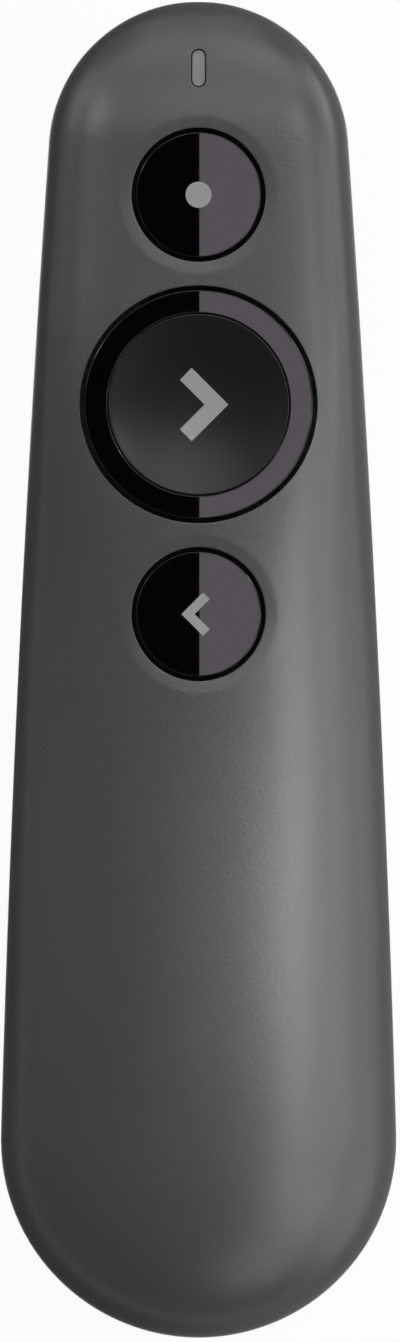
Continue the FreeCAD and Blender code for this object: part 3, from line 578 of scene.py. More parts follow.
class Paint:
    """A material under construction: its node tree and the shader that shows it.

    A noise counts as fully dark at the low tone and as fully light at the high one.
    """

    low_tone = 0.3
    high_tone = 0.7

    def __init__(self, name: str) -> None:
        """Make an empty node material.

        Args:
            name: Name of the material.
        """
        self.material = bpy.data.materials.new(name)
        self.material.use_nodes = True
        self.tree = self.material.node_tree
        self.tree.nodes.clear()
        self.output = self.tree.nodes.new("ShaderNodeOutputMaterial")
        self.shader = self.tree.nodes.new("ShaderNodeBsdfPrincipled")
        self.link(self.shader, "BSDF", self.output, "Surface")
        self.place = self.tree.nodes.new("ShaderNodeTexCoord")

    def link(self, source: Node, out: str, target: Node, into: str) -> None:
        """Join two sockets by name."""
        self.tree.links.new(source.outputs[out], target.inputs[into])

    def base(self, roughness: float, metallic: float = 0.0, gloss: float = 0.5) -> None:
        """Set the constants of the shader.

        Args:
            roughness: Roughness.
            metallic: Share of metal.
            gloss: Level of the specular.
        """
        self.shader.inputs["Roughness"].default_value = roughness
        self.shader.inputs["Metallic"].default_value = metallic
        self.shader.inputs["Specular IOR Level"].default_value = gloss

    def spread(self, scale: Triple) -> Node:
        """Object coordinates stretched by a scale per axis.

        Args:
            scale: Scale per axis.

        Returns:
            The mapping node.
        """
        mapping = self.tree.nodes.new("ShaderNodeMapping")
        mapping.inputs["Scale"].default_value = scale
        self.link(self.place, "Object", mapping, "Vector")
        return mapping

    def noise(self, scale: float, detail: float, rough: float,
              stretch: Triple = (1.0, 1.0, 1.0)) -> Node:
        """A noise texture over the object, its scale in waves per metre.

        Args:
            scale: Waves per metre.
            detail: Detail.
            rough: Roughness.
            stretch: Scale per axis.

        Returns:
            The noise node.
        """
        texture = self.tree.nodes.new("ShaderNodeTexNoise")
        texture.inputs["Scale"].default_value = scale
        texture.inputs["Detail"].default_value = detail
        texture.inputs["Roughness"].default_value = rough
        self.link(self.spread(stretch), "Vector", texture, "Vector")
        return texture

    def ramp(self, source: Node, out: str, stops: tuple[tuple[float, Triple], ...]) -> None:
        """Colour the surface by a value, through two stops of (place, colour).

        Args:
            source: Node of the value.
            out: Its output.
            stops: The two stops.
        """
        ramp = self.tree.nodes.new("ShaderNodeValToRGB")
        for element, (position, colour) in zip(ramp.color_ramp.elements, stops):
            element.position = position
            element.color = (*colour, 1.0)
        self.link(source, out, ramp, "Fac")
        self.link(ramp, "Color", self.shader, "Base Color")

    def cloud(self, source: Node, colour: Triple, dark: float, light: float) -> None:
        """Let the base colour drift between two shares of a colour, as a noise goes.

        Args:
            source: Node of the noise.
            colour: The base colour.
            dark: Darkest share.
            light: Lightest share.
        """
        stops = ((self.low_tone, dark), (self.high_tone, light))
        self.ramp(source, "Fac", tuple((at, tuple(min(1.0, c * share) for c in colour))
                                       for at, share in stops))

    def uneven(self, source: Node, low: float, high: float) -> None:
        """Let the roughness drift between two values, as a noise goes."""
        self.link(self.between(source, "Fac", low, high), "Result", self.shader, "Roughness")

    def black(self) -> None:
        """Make the surface black, with no gloss."""
        self.base(1.0, 0.0, 0.0)
        self.shader.inputs["Base Color"].default_value = (0.0, 0.0, 0.0, 1.0)

    def between(self, source: Node, out: str, low: float, high: float,
                from_low: float = low_tone, from_high: float = high_tone) -> Node:
        """Map a value onto a range.

        Args:
            source: Node of the value.
            out: Its output.
            low: New low end.
            high: New high end.
            from_low: Old low end.
            from_high: Old high end.

        Returns:
            The range node.
        """
        node = self.tree.nodes.new("ShaderNodeMapRange")
        node.inputs["From Min"].default_value = from_low
        node.inputs["From Max"].default_value = from_high
        node.inputs["To Min"].default_value = low
        node.inputs["To Max"].default_value = high
        self.link(source, out, node, "Value")
        return node

    def bump(self, source: Node, out: str, depth: float, strength: float,
             under: Node | None = None) -> Node:
        """Add a bump whose full height is a depth in millimetres, over an earlier bump if given.

        Args:
            source: Node of the height.
            out: Its output.
            depth: Full height in millimetres.
            strength: Strength.
            under: Earlier bump, if any.

        Returns:
            The bump node.
        """
        node = self.tree.nodes.new("ShaderNodeBump")
        node.inputs["Distance"].default_value = depth * MM
        node.inputs["Strength"].default_value = strength
        self.link(source, out, node, "Height")
        if under is not None:
            self.link(under, "Normal", node, "Normal")
        self.link(node, "Normal", self.shader, "Normal")
        return node


@dataclass(frozen=True)
class MouldedPlastic:
    """Opaque plastic from a mould with a fine spark-eroded grain."""

    name: str
    colour: Triple
    roughness: float = 0.5
    gloss: float = 0.5
    grain_scale: float = 3200.0
    grain_depth: float = 0.012
    tone: float = 0.10
    streak: float = 0.0
    drift: float = 0.05
    cloud_scale: float = 90.0
    streak_stretch: Triple = (5200.0, 420.0, 1500.0)
    strength: float = 0.6

    def material(self) -> Material:
        """Build the material: cloudy tone, grain bump and slightly uneven roughness.

        Returns:
            The material.
        """
        paint = Paint(self.name)
        paint.base(self.roughness, 0.0, self.gloss)
        cloud = paint.noise(self.cloud_scale, 4.0, 0.6)
        paint.cloud(cloud, self.colour, 1 - self.tone, 1 + self.tone)
        grain = paint.noise(self.grain_scale, 2.0, 0.6)
        bump = paint.bump(grain, "Fac", self.grain_depth, self.strength)
        if self.streak:
            lines = paint.noise(1.0, 3.0, 0.65, self.streak_stretch)
            paint.bump(lines, "Fac", self.streak, self.strength, bump)
        paint.uneven(grain, self.roughness - self.drift, self.roughness + self.drift)
        return paint.material


@dataclass(frozen=True)
class GlossPlastic:
    """Polished black plastic, with the faint unevenness and dust of a used button."""

    name: str
    colour: Triple
    roughness: float = 0.06
    gloss: float = 0.5
    wave: float = 0.0
    cloud_scale: float = 140.0
    smear_scale: float = 420.0
    wave_scale: float = 260.0

    def material(self) -> Material:
        """Build the material: an even gloss whose roughness drifts by a few hundredths.

        Returns:
            The material.
        """
        paint = Paint(self.name)
        paint.base(self.roughness, 0.0, self.gloss)
        paint.cloud(paint.noise(self.cloud_scale, 3.0, 0.5), self.colour, 0.9, 1.15)
        smear = paint.noise(self.smear_scale, 4.0, 0.6)
        paint.uneven(smear, self.roughness * 0.75, self.roughness * 1.35)
        if self.wave:
            paint.bump(paint.noise(self.wave_scale, 1.0, 0.4), "Fac", self.wave, 0.5)
        return paint.material


@dataclass(frozen=True)
class WornMetal:
    """Plated or turned metal with brushing along one axis."""

    name: str
    colour: Triple
    roughness: float = 0.3
    brush: Triple = (2400.0, 2400.0, 2400.0)
    scratch: float = 0.004
    cloud_scale: float = 500.0

    def material(self) -> Material:
        """Build the material: metal whose brushing shows in bump and roughness.

        Returns:
            The material.
        """
        paint = Paint(self.name)
        paint.base(self.roughness, 1.0)
        paint.cloud(paint.noise(self.cloud_scale, 3.0, 0.6), self.colour, 0.82, 1.08)
        lines = paint.noise(1.0, 3.0, 0.6, self.brush)
        paint.bump(lines, "Fac", self.scratch, 0.5)
        paint.uneven(lines, self.roughness * 0.8, self.roughness * 1.3)
        return paint.material


@dataclass(frozen=True)
class ClearPlastic:
    """Tinted or clear see-through plastic."""

    name: str
    colour: Triple
    roughness: float = 0.05
    through: float = 1.0
    index: float = 1.49
    cloud_scale: float = 300.0
    swirl_scale: float = 700.0
    swirl_depth: float = 0.004

    def material(self) -> Material:
        """Build the material: transmission with a faint swirl from moulding.

        Returns:
            The material.
        """
        paint = Paint(self.name)
        paint.base(self.roughness)
        paint.shader.inputs["Transmission Weight"].default_value = self.through
        paint.shader.inputs["IOR"].default_value = self.index
        paint.cloud(paint.noise(self.cloud_scale, 2.0, 0.5), self.colour, 0.92, 1.06)
        paint.bump(paint.noise(self.swirl_scale, 2.0, 0.5), "Fac", self.swirl_depth, 0.3)
        return paint.material


@dataclass(frozen=True)
class CircuitBoard:
    """Solder mask over copper runs: the runs stand out as lighter, slightly raised lines."""

    name: str = "board_mask"
    mask: Triple = (0.008, 0.040, 0.020)
    over_copper: Triple = (0.018, 0.095, 0.040)
    run_scale: float = 420.0
    run_edge: Pair = (0.36, 0.42)
    run_height: float = 0.02
    smear_scale: float = 600.0

    def material(self) -> Material:
        """Build the material: runs from the cell edges of a blocky pattern, under a glossy mask.

        Returns:
            The material.
        """
        paint = Paint(self.name)
        paint.base(0.28, 0.0, 0.5)
        cells = paint.tree.nodes.new("ShaderNodeTexVoronoi")
        cells.distance, cells.feature = "CHEBYCHEV", "F1"
        cells.inputs["Scale"].default_value = self.run_scale
        paint.link(paint.spread((1.0, 1.6, 0.4)), "Vector", cells, "Vector")
        runs = paint.between(cells, "Distance", 0.0, 1.0, *self.run_edge)
        paint.ramp(runs, "Result", ((0.0, self.mask), (1.0, self.over_copper)))
        paint.bump(runs, "Result", self.run_height, 0.6)
        paint.uneven(paint.noise(self.smear_scale, 3.0, 0.5), 0.22, 0.36)
        return paint.material


FINISHES = (
    MouldedPlastic("graphite_matt", (0.050, 0.050, 0.051), 0.34, 1.0, grain_depth=0.024, tone=0.04,
                   streak=0.003),
    MouldedPlastic("tray_plastic", (0.022, 0.022, 0.024), 0.48, 0.5, 2400.0, 0.012, 0.08),
    GlossPlastic("button_gloss", (0.0015, 0.0015, 0.0017), 0.004),
    MouldedPlastic("pad_satin", (0.003, 0.003, 0.0032), 0.24, grain_depth=0.0003, drift=0.01),
    MouldedPlastic("skirt_matt", (0.004, 0.004, 0.0042), 0.55, 0.2, grain_depth=0.003),
    MouldedPlastic("sign_inlay", (0.335, 0.335, 0.335), 0.6, 0.2, grain_depth=0.003, tone=0.03),
    MouldedPlastic("light_pipe_milk", (0.24, 0.24, 0.24), 0.35, grain_depth=0.002, tone=0.05),
    WornMetal("screw_steel", (0.42, 0.42, 0.43), 0.32, (3000.0, 3000.0, 600.0)),
    WornMetal("contact_nickel", (0.66, 0.64, 0.60), 0.24, (1200.0, 6000.0, 1200.0)),
    WornMetal("spring_steel", (0.58, 0.57, 0.55), 0.22, (4000.0, 4000.0, 4000.0), 0.002),
    WornMetal("plug_steel", (0.56, 0.56, 0.57), 0.26, (600.0, 5200.0, 5200.0)),
    WornMetal("cell_steel", (0.62, 0.62, 0.61), 0.26, (1800.0, 1800.0, 1800.0)),
    WornMetal("laser_brass", (0.72, 0.50, 0.20), 0.28, (5200.0, 500.0, 5200.0)),
    WornMetal("pad_gold", (0.83, 0.62, 0.26), 0.20, (900.0, 5200.0, 900.0), 0.001),
    WornMetal("crystal_can", (0.60, 0.60, 0.61), 0.20, (5200.0, 900.0, 900.0), 0.001),
    GlossPlastic("cell_sleeve", (0.020, 0.024, 0.030), 0.24, wave=0.02),
    GlossPlastic("cell_band", (0.52, 0.53, 0.54), 0.26, wave=0.02),
    MouldedPlastic("receiver_plastic", (0.012, 0.012, 0.013), 0.42, 0.5, 2600.0, 0.010),
    MouldedPlastic("tongue_plastic", (0.60, 0.60, 0.58), 0.45, 0.4, 1800.0, 0.004, 0.04),
    ClearPlastic("window_red", (0.16, 0.006, 0.008), 0.04, 0.75),
    ClearPlastic("lens_clear", (0.96, 0.97, 0.98), 0.02),
    CircuitBoard(),
    MouldedPlastic("chip_resin", (0.015, 0.015, 0.016), 0.50, 0.5, 5200.0, 0.008),
    MouldedPlastic("switch_case", (0.020, 0.020, 0.021), 0.36, 0.5, 2600.0, 0.005),
    MouldedPlastic("plunger_plastic", (0.16, 0.16, 0.165), 0.42, 0.5, 2600.0, 0.005),
    MouldedPlastic("capacitor_ceramic", (0.36, 0.24, 0.13), 0.45, 0.5, 4200.0, 0.006),
    MouldedPlastic("led_resin", (0.78, 0.78, 0.72), 0.30, 0.5, 4200.0, 0.003, 0.04),
)

WEARING = {
    "tray_plastic": ("battery_tray",),
    "board_mask": ("main_board",),
    "chip_resin": ("radio_chip",),
    "crystal_can": ("crystal",),
    "capacitor_ceramic": ("capacitors",),
    "led_resin": ("status_led",),
    "switch_case": ("laser_switch", "next_switch", "back_switch"),
    "plunger_plastic": ("laser_switch_plunger", "next_switch_plunger", "back_switch_plunger"),
    "laser_brass": ("laser_barrel",),
    "lens_clear": ("laser_lens",),
    "cell_steel": ("laser_diode",),
    "pad_gold": ("laser_leads",),
    "window_red": ("laser_window",),
    "contact_nickel": ("positive_contact", "negative_contact", "bridge_contact"),
}


class Palette(dict):
    """All materials of the clicker by name, each made once."""

    def __init__(self) -> None:
        """Make the materials."""
        super().__init__((finish.name, finish.material()) for finish in FINISHES)

    def dress(self, nodes: dict[str, Object]) -> None:
        """Give each carried-over CAD node its material.

        Args:
            nodes: The frame's objects by node name.
        """
        for material, names in WEARING.items():
            for name in names:
                for place in nodes[name].material_slots:
                    place.material = self[material]


@dataclass(frozen=True)
class Opening:
    """An upright opening with round ends: a circle drawn out along the case by a half run."""

    y: float
    radius: float
    half_run: float = 0.0

    def ring(self, angle: np.ndarray, offset: float) -> tuple[np.ndarray, np.ndarray]:
        """Where rays from the centre cross the opening's outline moved outwards.

        A ray with direction (c, s) leaves through a straight side at R / |c| while
        R |s| / |c| is within the half run h, and through a round end otherwise, at
        |s| h + sqrt(R^2 - h^2 c^2).

        Args:
            angle: Directions of the rays.
            offset: How far outside the outline.

        Returns:
            x and y of the crossings.
        """
        reach = self.radius + offset
        cosine, sine = np.cos(angle), np.sin(angle)
        flat = np.maximum(np.abs(cosine), TINY)
        on_side = reach * np.abs(sine) / flat <= self.half_run
        end = np.abs(sine) * self.half_run
        end = end + np.sqrt(np.maximum(reach**2 - (self.half_run * cosine) ** 2, 0.0))
        ray = np.where(on_side, reach / flat, end)
        return ray * cosine, self.y + ray * sine


@dataclass(frozen=True)
class Band:
    """A stretch of the upper case between two places, with an opening in it or none."""

    low: float
    high: float
    opening: Opening | None = None
    rings: tuple[float, ...] = ()
    rows: int = 24


@dataclass
class TopShell:
    """Upper half of the case: a smooth deck with wells for the buttons and the light slot."""

    form: CaseForm
    across: int = 64
    side_columns: int = 22
    edge_share: float = 0.86
    bunch: float = 0.9
    rim: float = 0.07
    rim_hold: float = 0.05
    inner_rings: Pair = (0.0, 0.4)
    ring_steps: int = 9
    seam_round: float = 0.14
    seam_share: float = 0.45
    tip_power: float = 1.3
    dish_out: float = 7.72
    dish_slope: float = 0.10
    dish_soft: float = 0.09
    dish_centres: Pair = (LASER_BUTTON_Y, BACK_BUTTON_Y)
    boss_radius: float = 2.2
    boss_sunk: float = 0.5
    board_boss_foot: float = 17.6
    case_boss_foot: float = 13.1
    pilot_depth: float = 4.0

    def bands(self) -> tuple[Band, ...]:
        """Stretches from the tail to the nose, and the openings in them.

        Returns:
            The bands in order.
        """
        dish_rings = (0.25, 0.45, 0.65, 0.85, 0.95, 1.03, 1.10, 1.17, 1.25, 1.35, 1.50)
        return (
            Band(-65.5, -46.1, rows=36),
            Band(-46.1, -3.4, rows=40),
            Band(-3.4, 13.75, Opening(BACK_BUTTON_Y, 6.55), dish_rings, 22),
            Band(13.75, 38.05, Opening(NEXT_BUTTON_Y, 11.6), (0.22,), 30),
            Band(38.05, 55.2, Opening(LASER_BUTTON_Y, 6.55), dish_rings, 22),
            Band(55.2, 62.0, Opening(INDICATOR_Y, 0.735, INDICATOR_HALF), (0.22, 0.4), 12),
            Band(62.0, 65.5, rows=26),
        )

    def rows(self, band: Band, inset: float) -> np.ndarray:
        """Places of a band's rows: closer together towards the tips, and even in y elsewhere.

        Over a round end the angle from the tip grows as share^tip_power.

        Args:
            band: The band.
            inset: Distance inwards.

        Returns:
            Places along y.
        """
        form = self.form
        share = np.linspace(0.0, 1.0, band.rows + 1)
        if band.low <= -form.length / 2:
            reach = form.tail - inset
            end = math.asin((band.high - form.tail_y) / reach)
            return form.tail_y + reach * np.sin(blend(-QUARTER, end, share**self.tip_power))
        if band.low >= form.nose_y:
            reach = form.nose - inset
            start = math.asin((band.low - form.nose_y) / reach)
            end = math.asin(min(1.0, (band.high - form.nose_y) / reach))
            return form.nose_y + reach * np.sin(blend(end, start, (1.0 - share) ** self.tip_power))
        return blend(band.low, band.high, share)

    def edge(self, y: np.ndarray, inset: float) -> np.ndarray:
        """Half width of the part of the deck that is meshed over x and y."""
        return self.form.half_width(y, inset) * self.edge_share

    def stations(self, y: np.ndarray, inset: float) -> np.ndarray:
        """x of the columns across the deck: edge times tan(a u) / tan(a), closer in the middle."""
        u = np.linspace(-1.0, 1.0, self.across + 1)
        return self.edge(y, inset)[..., None] * np.tan(self.bunch * u) / math.tan(self.bunch)

    def surface(self, x: np.ndarray, y: np.ndarray, inset: float) -> np.ndarray:
        """Points of the deck, with a soft-edged cone let in round each small button.

        The cone's depth is slope w log(1 + exp((R - r) / w)): zero outside R and rising
        evenly inside it, eased over w.

        Args:
            x: Places across.
            y: Places along.
            inset: Distance inwards.

        Returns:
            Points.
        """
        z = self.form.height(Half.UPPER, x, y, inset)
        if inset == 0:
            for centre in self.dish_centres:
                far = (self.dish_out - np.hypot(x, y - centre)) / self.dish_soft
                z = z - self.dish_slope * self.dish_soft * np.logaddexp(0.0, far)
        return np.stack([x, y, z], axis=-1)

    def plain_grid(self, band: Band, inset: float) -> np.ndarray:
        """Deck of a band with no opening.

        Args:
            band: The band.
            inset: Distance inwards.

        Returns:
            Grid of points.
        """
        y = self.rows(band, inset)
        x = self.stations(y, inset)
        return self.surface(x, np.broadcast_to(y[:, None], x.shape), inset)

    def border(self, band: Band, inset: float) -> tuple[np.ndarray, np.ndarray]:
        """The border of a band's deck, once round from its lower right corner.

        Args:
            band: The band.
            inset: Distance inwards.

        Returns:
            Places across and along.
        """
        side_y = self.rows(band, inset)
        side_x = self.edge(side_y, inset)
        top_x = self.stations(np.array([band.high]), inset)[0]
        low_x = self.stations(np.array([band.low]), inset)[0]
        x = np.concatenate([side_x[:-1], top_x[:0:-1], -side_x[:0:-1], low_x[:-1]])
        y = np.concatenate([side_y[:-1], np.full(self.across, band.high),
                            side_y[:0:-1], np.full(self.across, band.low)])
        return x, y

    def ringed_grid(self, band: Band, inset: float, rings: tuple[float, ...]) -> np.ndarray:
        """Deck of a band round its opening: rings first, then straight runs to the border.

        Args:
            band: The band, which has an opening.
            inset: 0 for the outer skin, the wall for the inner one.
            rings: Offsets of the rings from the opening's outline.

        Returns:
            Grid of points, closed when its columns wrap.
        """
        opening = band.opening
        outer_x, outer_y = self.border(band, 0.0)
        angle = np.arctan2(outer_y - opening.y, outer_x)
        border_x, border_y = self.border(band, inset)
        circles = [opening.ring(angle, offset) for offset in rings]
        share = np.linspace(0.0, 1.0, self.ring_steps + 1)[1:, None]
        x = np.concatenate([[c[0] for c in circles], blend(circles[-1][0], border_x, share)])
        y = np.concatenate([[c[1] for c in circles], blend(circles[-1][1], border_y, share)])
        return self.surface(x, y, inset)

    def well(self, band: Band) -> np.ndarray:
        """Wall of an opening, from the rounded rim on the outer skin down to the inner skin.

        The rim is a quarter round: at angle a it stands rim (1 - cos a) outside the wall
        and rim (1 - sin a) below the surface.

        Args:
            band: The band of the opening.

        Returns:
            Grid of points.
        """
        opening = band.opening
        outer_x, outer_y = self.border(band, 0.0)
        angle = np.arctan2(outer_y - opening.y, outer_x)
        rows = []
        for a in np.linspace(QUARTER, 0.0, 7):
            x, y = opening.ring(angle, self.rim * (1 - math.cos(a)))
            rows.append(self.surface(x, y, 0.0) - [0, 0, self.rim * (1 - math.sin(a))])
        rows.append(rows[-1] - [0, 0, self.rim_hold])
        x, y = opening.ring(angle, 0.0)
        rows.append(self.surface(x, y, self.form.wall))
        return np.array(rows)

    def side(self, half: Half, y: np.ndarray, inset: float, start_share: float) -> np.ndarray:
        """Side of the form from the deck's edge down to the split, with the seam's edge rounded.

        Args:
            half: Which half of the case.
            y: Places of the rows.
            inset: 0 for the outer skin, the wall for the inner one.
            start_share: Share of the half width at which the side starts.

        Returns:
            Grid of points, rows by columns.
        """
        form = self.form
        reach, side, top = form.section(half, y, inset)
        start = form.along(np.full_like(y, start_share), top)
        drop = np.zeros_like(y)
        if inset == 0:
            drop = np.minimum(self.seam_round, self.seam_share * np.abs(reach))
        end = drop / np.maximum(3 * side * np.abs(reach), TINY)
        end = np.minimum(end, start * 0.5)
        share = np.linspace(0.0, 1.0, self.side_columns + 1)
        t = blend(start[:, None], end[:, None], share)
        grid = form.points(half, np.broadcast_to(y[:, None], t.shape), t, inset)
        if inset:
            return grid
        arc = []
        for b in np.linspace(0.0, QUARTER, 6)[1:]:
            near, place = self.inset_outline(y, self.seam_round * (1 - math.cos(b)))
            z = form.split + half.value * drop * (1 - math.sin(b))
            arc.append(np.stack([near, place, z], axis=-1))
        return np.concatenate([grid, np.stack(arc, axis=1)], axis=1)

    def inset_outline(self, y: np.ndarray, inset: float) -> tuple[np.ndarray, np.ndarray]:
        """The outline moved inwards, each point still paired to its place on the outer one.

        Args:
            y: Places along.
            inset: Distance inwards.

        Returns:
            Places across and along.
        """
        wide, ahead = self.form.outline(y, 0.0)
        near, place = self.form.outline(y, 1.0)
        return blend(wide, near, inset), blend(ahead, place, inset)

    def mesh(self) -> Mesh:
        """The whole shell: outer and inner skins, well walls and the edge at the split.

        Returns:
            The mesh.
        """
        sheet = Sheet()
        sides = {0.0: [], self.form.wall: []}
        for band in self.bands():
            for inset in sides:
                if band.opening is None:
                    sheet.add(self.plain_grid(band, inset))
                else:
                    rings = self.inner_rings if inset else (self.rim, *band.rings)
                    sheet.add(self.ringed_grid(band, inset, rings), wrap=True)
                side = self.side(Half.UPPER, self.rows(band, inset), inset, self.edge_share)
                sheet.mirrored(side)
                sides[inset].append(side[:, -1])
            if band.opening is not None:
                sheet.add(self.well(band), wrap=True)
        for outer, inner in zip(*sides.values()):
            sheet.mirrored(np.stack([outer, inner], axis=1))
        return sheet.mesh("top_shell")

    def bosses(self) -> Mesh:
        """Screw bosses under the deck, as tubes that end inside the skin.

        Returns:
            The mesh.
        """
        radius, grids = self.boss_radius, []
        places = [(x, y, self.board_boss_foot) for x, y in BOARD_SCREWS]
        places += [(x, y, self.case_boss_foot) for x, y in CASE_SCREWS]
        for x, y, foot in places:
            far_x, far_y = np.array(abs(x) + radius), np.array(y - math.copysign(radius, -y))
            top = float(self.form.height(Half.UPPER, far_x, far_y)) - self.boss_sunk
            end = foot + self.pilot_depth
            profile = filleted([(0.0, end, 0), (PILOT_RADIUS, end, 0), (PILOT_RADIUS, foot, 0.1),
                                (radius, foot, 0.15), (radius, top, 0), (0.0, top, 0)], 3)
            grids.append(Axis.UP.turn(turned(profile, 40), (x, y, 0.0)))
        return closed("top_bosses", *grids)

    def build(self, palette: Palette) -> None:
        """Make the shell as one piece in place of its CAD node.

        Args:
            palette: The materials.
        """
        mesh = joined("top_shell_skin", [self.mesh(), self.bosses()])
        piece = shown(mesh, palette["graphite_matt"], 40.0)
        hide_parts("top_shell")
        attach(piece, "case")


@dataclass
class LowerCase:
    """Lower half of the case, which the battery door shares with the bottom shell.

    A seat, bore or hole is given by its radius, its length and where it starts; a lug, lip,
    tongue or web by two opposite corners.
    """

    form: CaseForm
    shell: TopShell
    door_y: float = 11.0
    door_height: float = 10.3
    seam: float = 0.15
    far: float = 80.0
    buried: float = 0.7
    foot: float = -2.0
    post_radius: float = 2.0
    post_top: float = 11.05
    pilot_depth: float = 4.4
    rib_y: Pair = (55.6, 48.7)
    rib_half: Pair = (4.6, 0.6)
    tube_radii: Pair = (3.25, 1.95)
    tube_length: float = 7.5
    tube_from: float = 58.7
    barrel_seat: Triple = (3.05, 12.3, 46.0)
    window_bore: Triple = (2.45, 12.0, 60.0)
    case_hole: Triple = (0.98, 3.0, 10.0)
    lug: Corners = ((-7.5, -66.0, 10.6), (7.5, -56.3, 12.1))
    lip: Corners = ((11.66, -43.3, 8.7), (19.4, -5.7, 9.5))
    tongue: Corners = ((-4.0, 5.0, 1.9), (4.0, 14.0, 2.9))
    web: Corners = ((-4.0, 5.0, 0.6), (4.0, 10.8, 2.0))
    groove_y: tuple[float, ...] = (8.0, 6.5, 5.0, 3.5, 2.0)
    groove_half: float = 5.2
    groove_width: float = 0.8
    groove_depth: float = 0.32
    groove_round: float = 0.26
    lap_y: Pair = (9.3, 12.5)
    lap_gap: float = 0.12
    lap_thick: float = 0.8
    seam_depth: float = 0.6
    seam_left: float = 0.02
    seam_bite: float = 0.05
    lap_from: float = 0.22
    lap_to: float = 0.74

    def rows(self, inset: float) -> np.ndarray:
        """Places of all rows from the tail tip to the nose tip.

        Args:
            inset: Distance inwards.

        Returns:
            Places along y.
        """
        form = self.form
        angle = QUARTER * (1.0 - np.linspace(1.0, 0.0, 41) ** self.shell.tip_power)
        tail = form.tail_y - (form.tail - inset) * np.sin(angle[::-1])
        nose = form.nose_y + (form.nose - inset) * np.sin(angle)
        middle = np.linspace(form.tail_y, form.nose_y, 97)
        return np.concatenate([tail[:-1], middle, nose[1:]])

    def solid(self) -> Mesh:
        """The lower form as a wall: outer skin, inner skin and the rim at the split.

        Returns:
            The mesh.
        """
        sheet = Sheet()
        rims = []
        for inset in (0.0, self.form.wall):
            y = self.rows(inset)
            grid = self.shell.side(Half.LOWER, y, inset, 0.0)
            sheet.mirrored(grid)
            rims.append(grid[:, -1])
        sheet.mirrored(np.stack(rims, axis=1))
        return sheet.mesh("lower_wall")

    def filled(self) -> Mesh:
        """The lower form as a full solid, a little inside the outer skin, with a flat lid.

        Returns:
            The mesh.
        """
        sheet = Sheet()
        grid = self.shell.side(Half.LOWER, self.rows(self.buried), self.buried, 0.0)
        sheet.mirrored(grid)
        rim = grid[:, -1]
        sheet.add(np.stack([rim * MIRROR, rim], axis=1))
        return sheet.mesh("filled")

    def inside(self, parts: list[Mesh]) -> Mesh:
        """Inner features cut off where they would come through the skin."""
        return carved(joined("features", parts), self.filled(), "INTERSECT")

    def shell_features(self) -> Mesh:
        """Tray posts, laser cradle, window tube and the lug that takes the case screws.

        Returns:
            The mesh.
        """
        radius, top, foot = self.post_radius, self.post_top, self.foot
        end = top - self.pilot_depth
        post = filleted([(0.0, foot, 0), (radius, foot, 0), (radius, top, 0.2),
                         (PILOT_RADIUS, top, 0.1), (PILOT_RADIUS, end, 0), (0.0, end, 0)], 3)
        made = [lathe("post", post, (x, y, 0.0), segments=48) for x, y in TRAY_SCREWS]
        wide, thick = self.rib_half
        made += [block("rib", (-wide, y - thick, foot), (wide, y + thick, LASER_Z), 0.1)
                 for y in self.rib_y]
        (outer, inner), length = self.tube_radii, self.tube_length
        tube = filleted([(outer, 0.0, 0.15), (outer, length, 0), (inner, length, 0),
                         (inner, 0.0, 0.1), (outer, 0.0, 0)], 3)
        made.append(lathe("window_tube", tube, (0.0, self.tube_from, LASER_Z), Axis.TO_NOSE, 48))
        radius, length, start = self.barrel_seat
        seat = rod("seat", radius, length, (0.0, start, LASER_Z), Axis.TO_NOSE)
        features = carved(self.inside(made), seat, "DIFFERENCE")
        lug = self.inside([block("lug", *self.lug, 0.2)])
        radius, length, start = self.case_hole
        holes = [rod("hole", radius, length, (x, y, start)) for x, y in CASE_SCREWS]
        lug = carved(lug, joined("holes", holes), "DIFFERENCE")
        return joined("shell_features", [features, lug])

    def door_features(self) -> Mesh:
        """Lips that run under the tray's rails, and the tongue that enters the bottom shell.

        Returns:
            The mesh.
        """
        (near, rear, low), (far, front, high) = self.lip
        lips = [block("lip", (start, rear, low), (end, front, high), 0.12)
                for start, end in ((near, far), (-far, -near))]
        tongue = [block("tongue", *self.tongue, 0.15), block("web", *self.web, 0.15)]
        return joined("door_features", [self.inside(lips), *tongue])

    def strip(self, y: np.ndarray, outer: np.ndarray, inner: np.ndarray, last: float) -> Mesh:
        """A closed strip of the lower form between two insets, on both sides of the middle.

        Args:
            y: Places of its rows along the case.
            outer: Inset of its outer face at each place.
            inner: Inset of its inner face at each place.
            last: Curve parameter at which it ends; 1 joins the two sides in the middle.

        Returns:
            The strip.
        """
        sheet = Sheet()
        places, shares = np.broadcast_arrays(y[:, None], np.linspace(self.lap_from, last, 33))
        skins = [self.form.points(Half.LOWER, places, shares, inset[:, None])
                 for inset in (outer, inner)]
        borders = [(skin[0], skin[-1], skin[:, 0], skin[:, -1]) for skin in skins]
        for skin in skins:
            sheet.mirrored(skin)
        for pair in list(zip(*borders))[:3 if last == 1.0 else 4]:
            sheet.mirrored(np.stack(pair, axis=1))
        return sheet.mesh("strip")

    def lap(self) -> Mesh:
        """Lip of the bottom shell behind the door's front seam, and a strip that narrows it.

        Returns:
            The mesh.
        """
        wall, gap = self.form.wall, self.lap_gap
        y = np.array([self.lap_y[0], self.door_y - self.seam, self.door_y, self.lap_y[1]])
        outer = np.where(y < self.door_y, wall + gap, wall - gap)
        lip = self.strip(y, outer, np.full_like(y, wall + gap + self.lap_thick), self.lap_to)
        y = np.array([self.door_y - self.seam + self.seam_left, self.door_y + self.seam_bite])
        fill = self.strip(y, np.full_like(y, self.seam_depth), np.full_like(y, wall), 1.0)
        return joined("lap", [lip, fill])

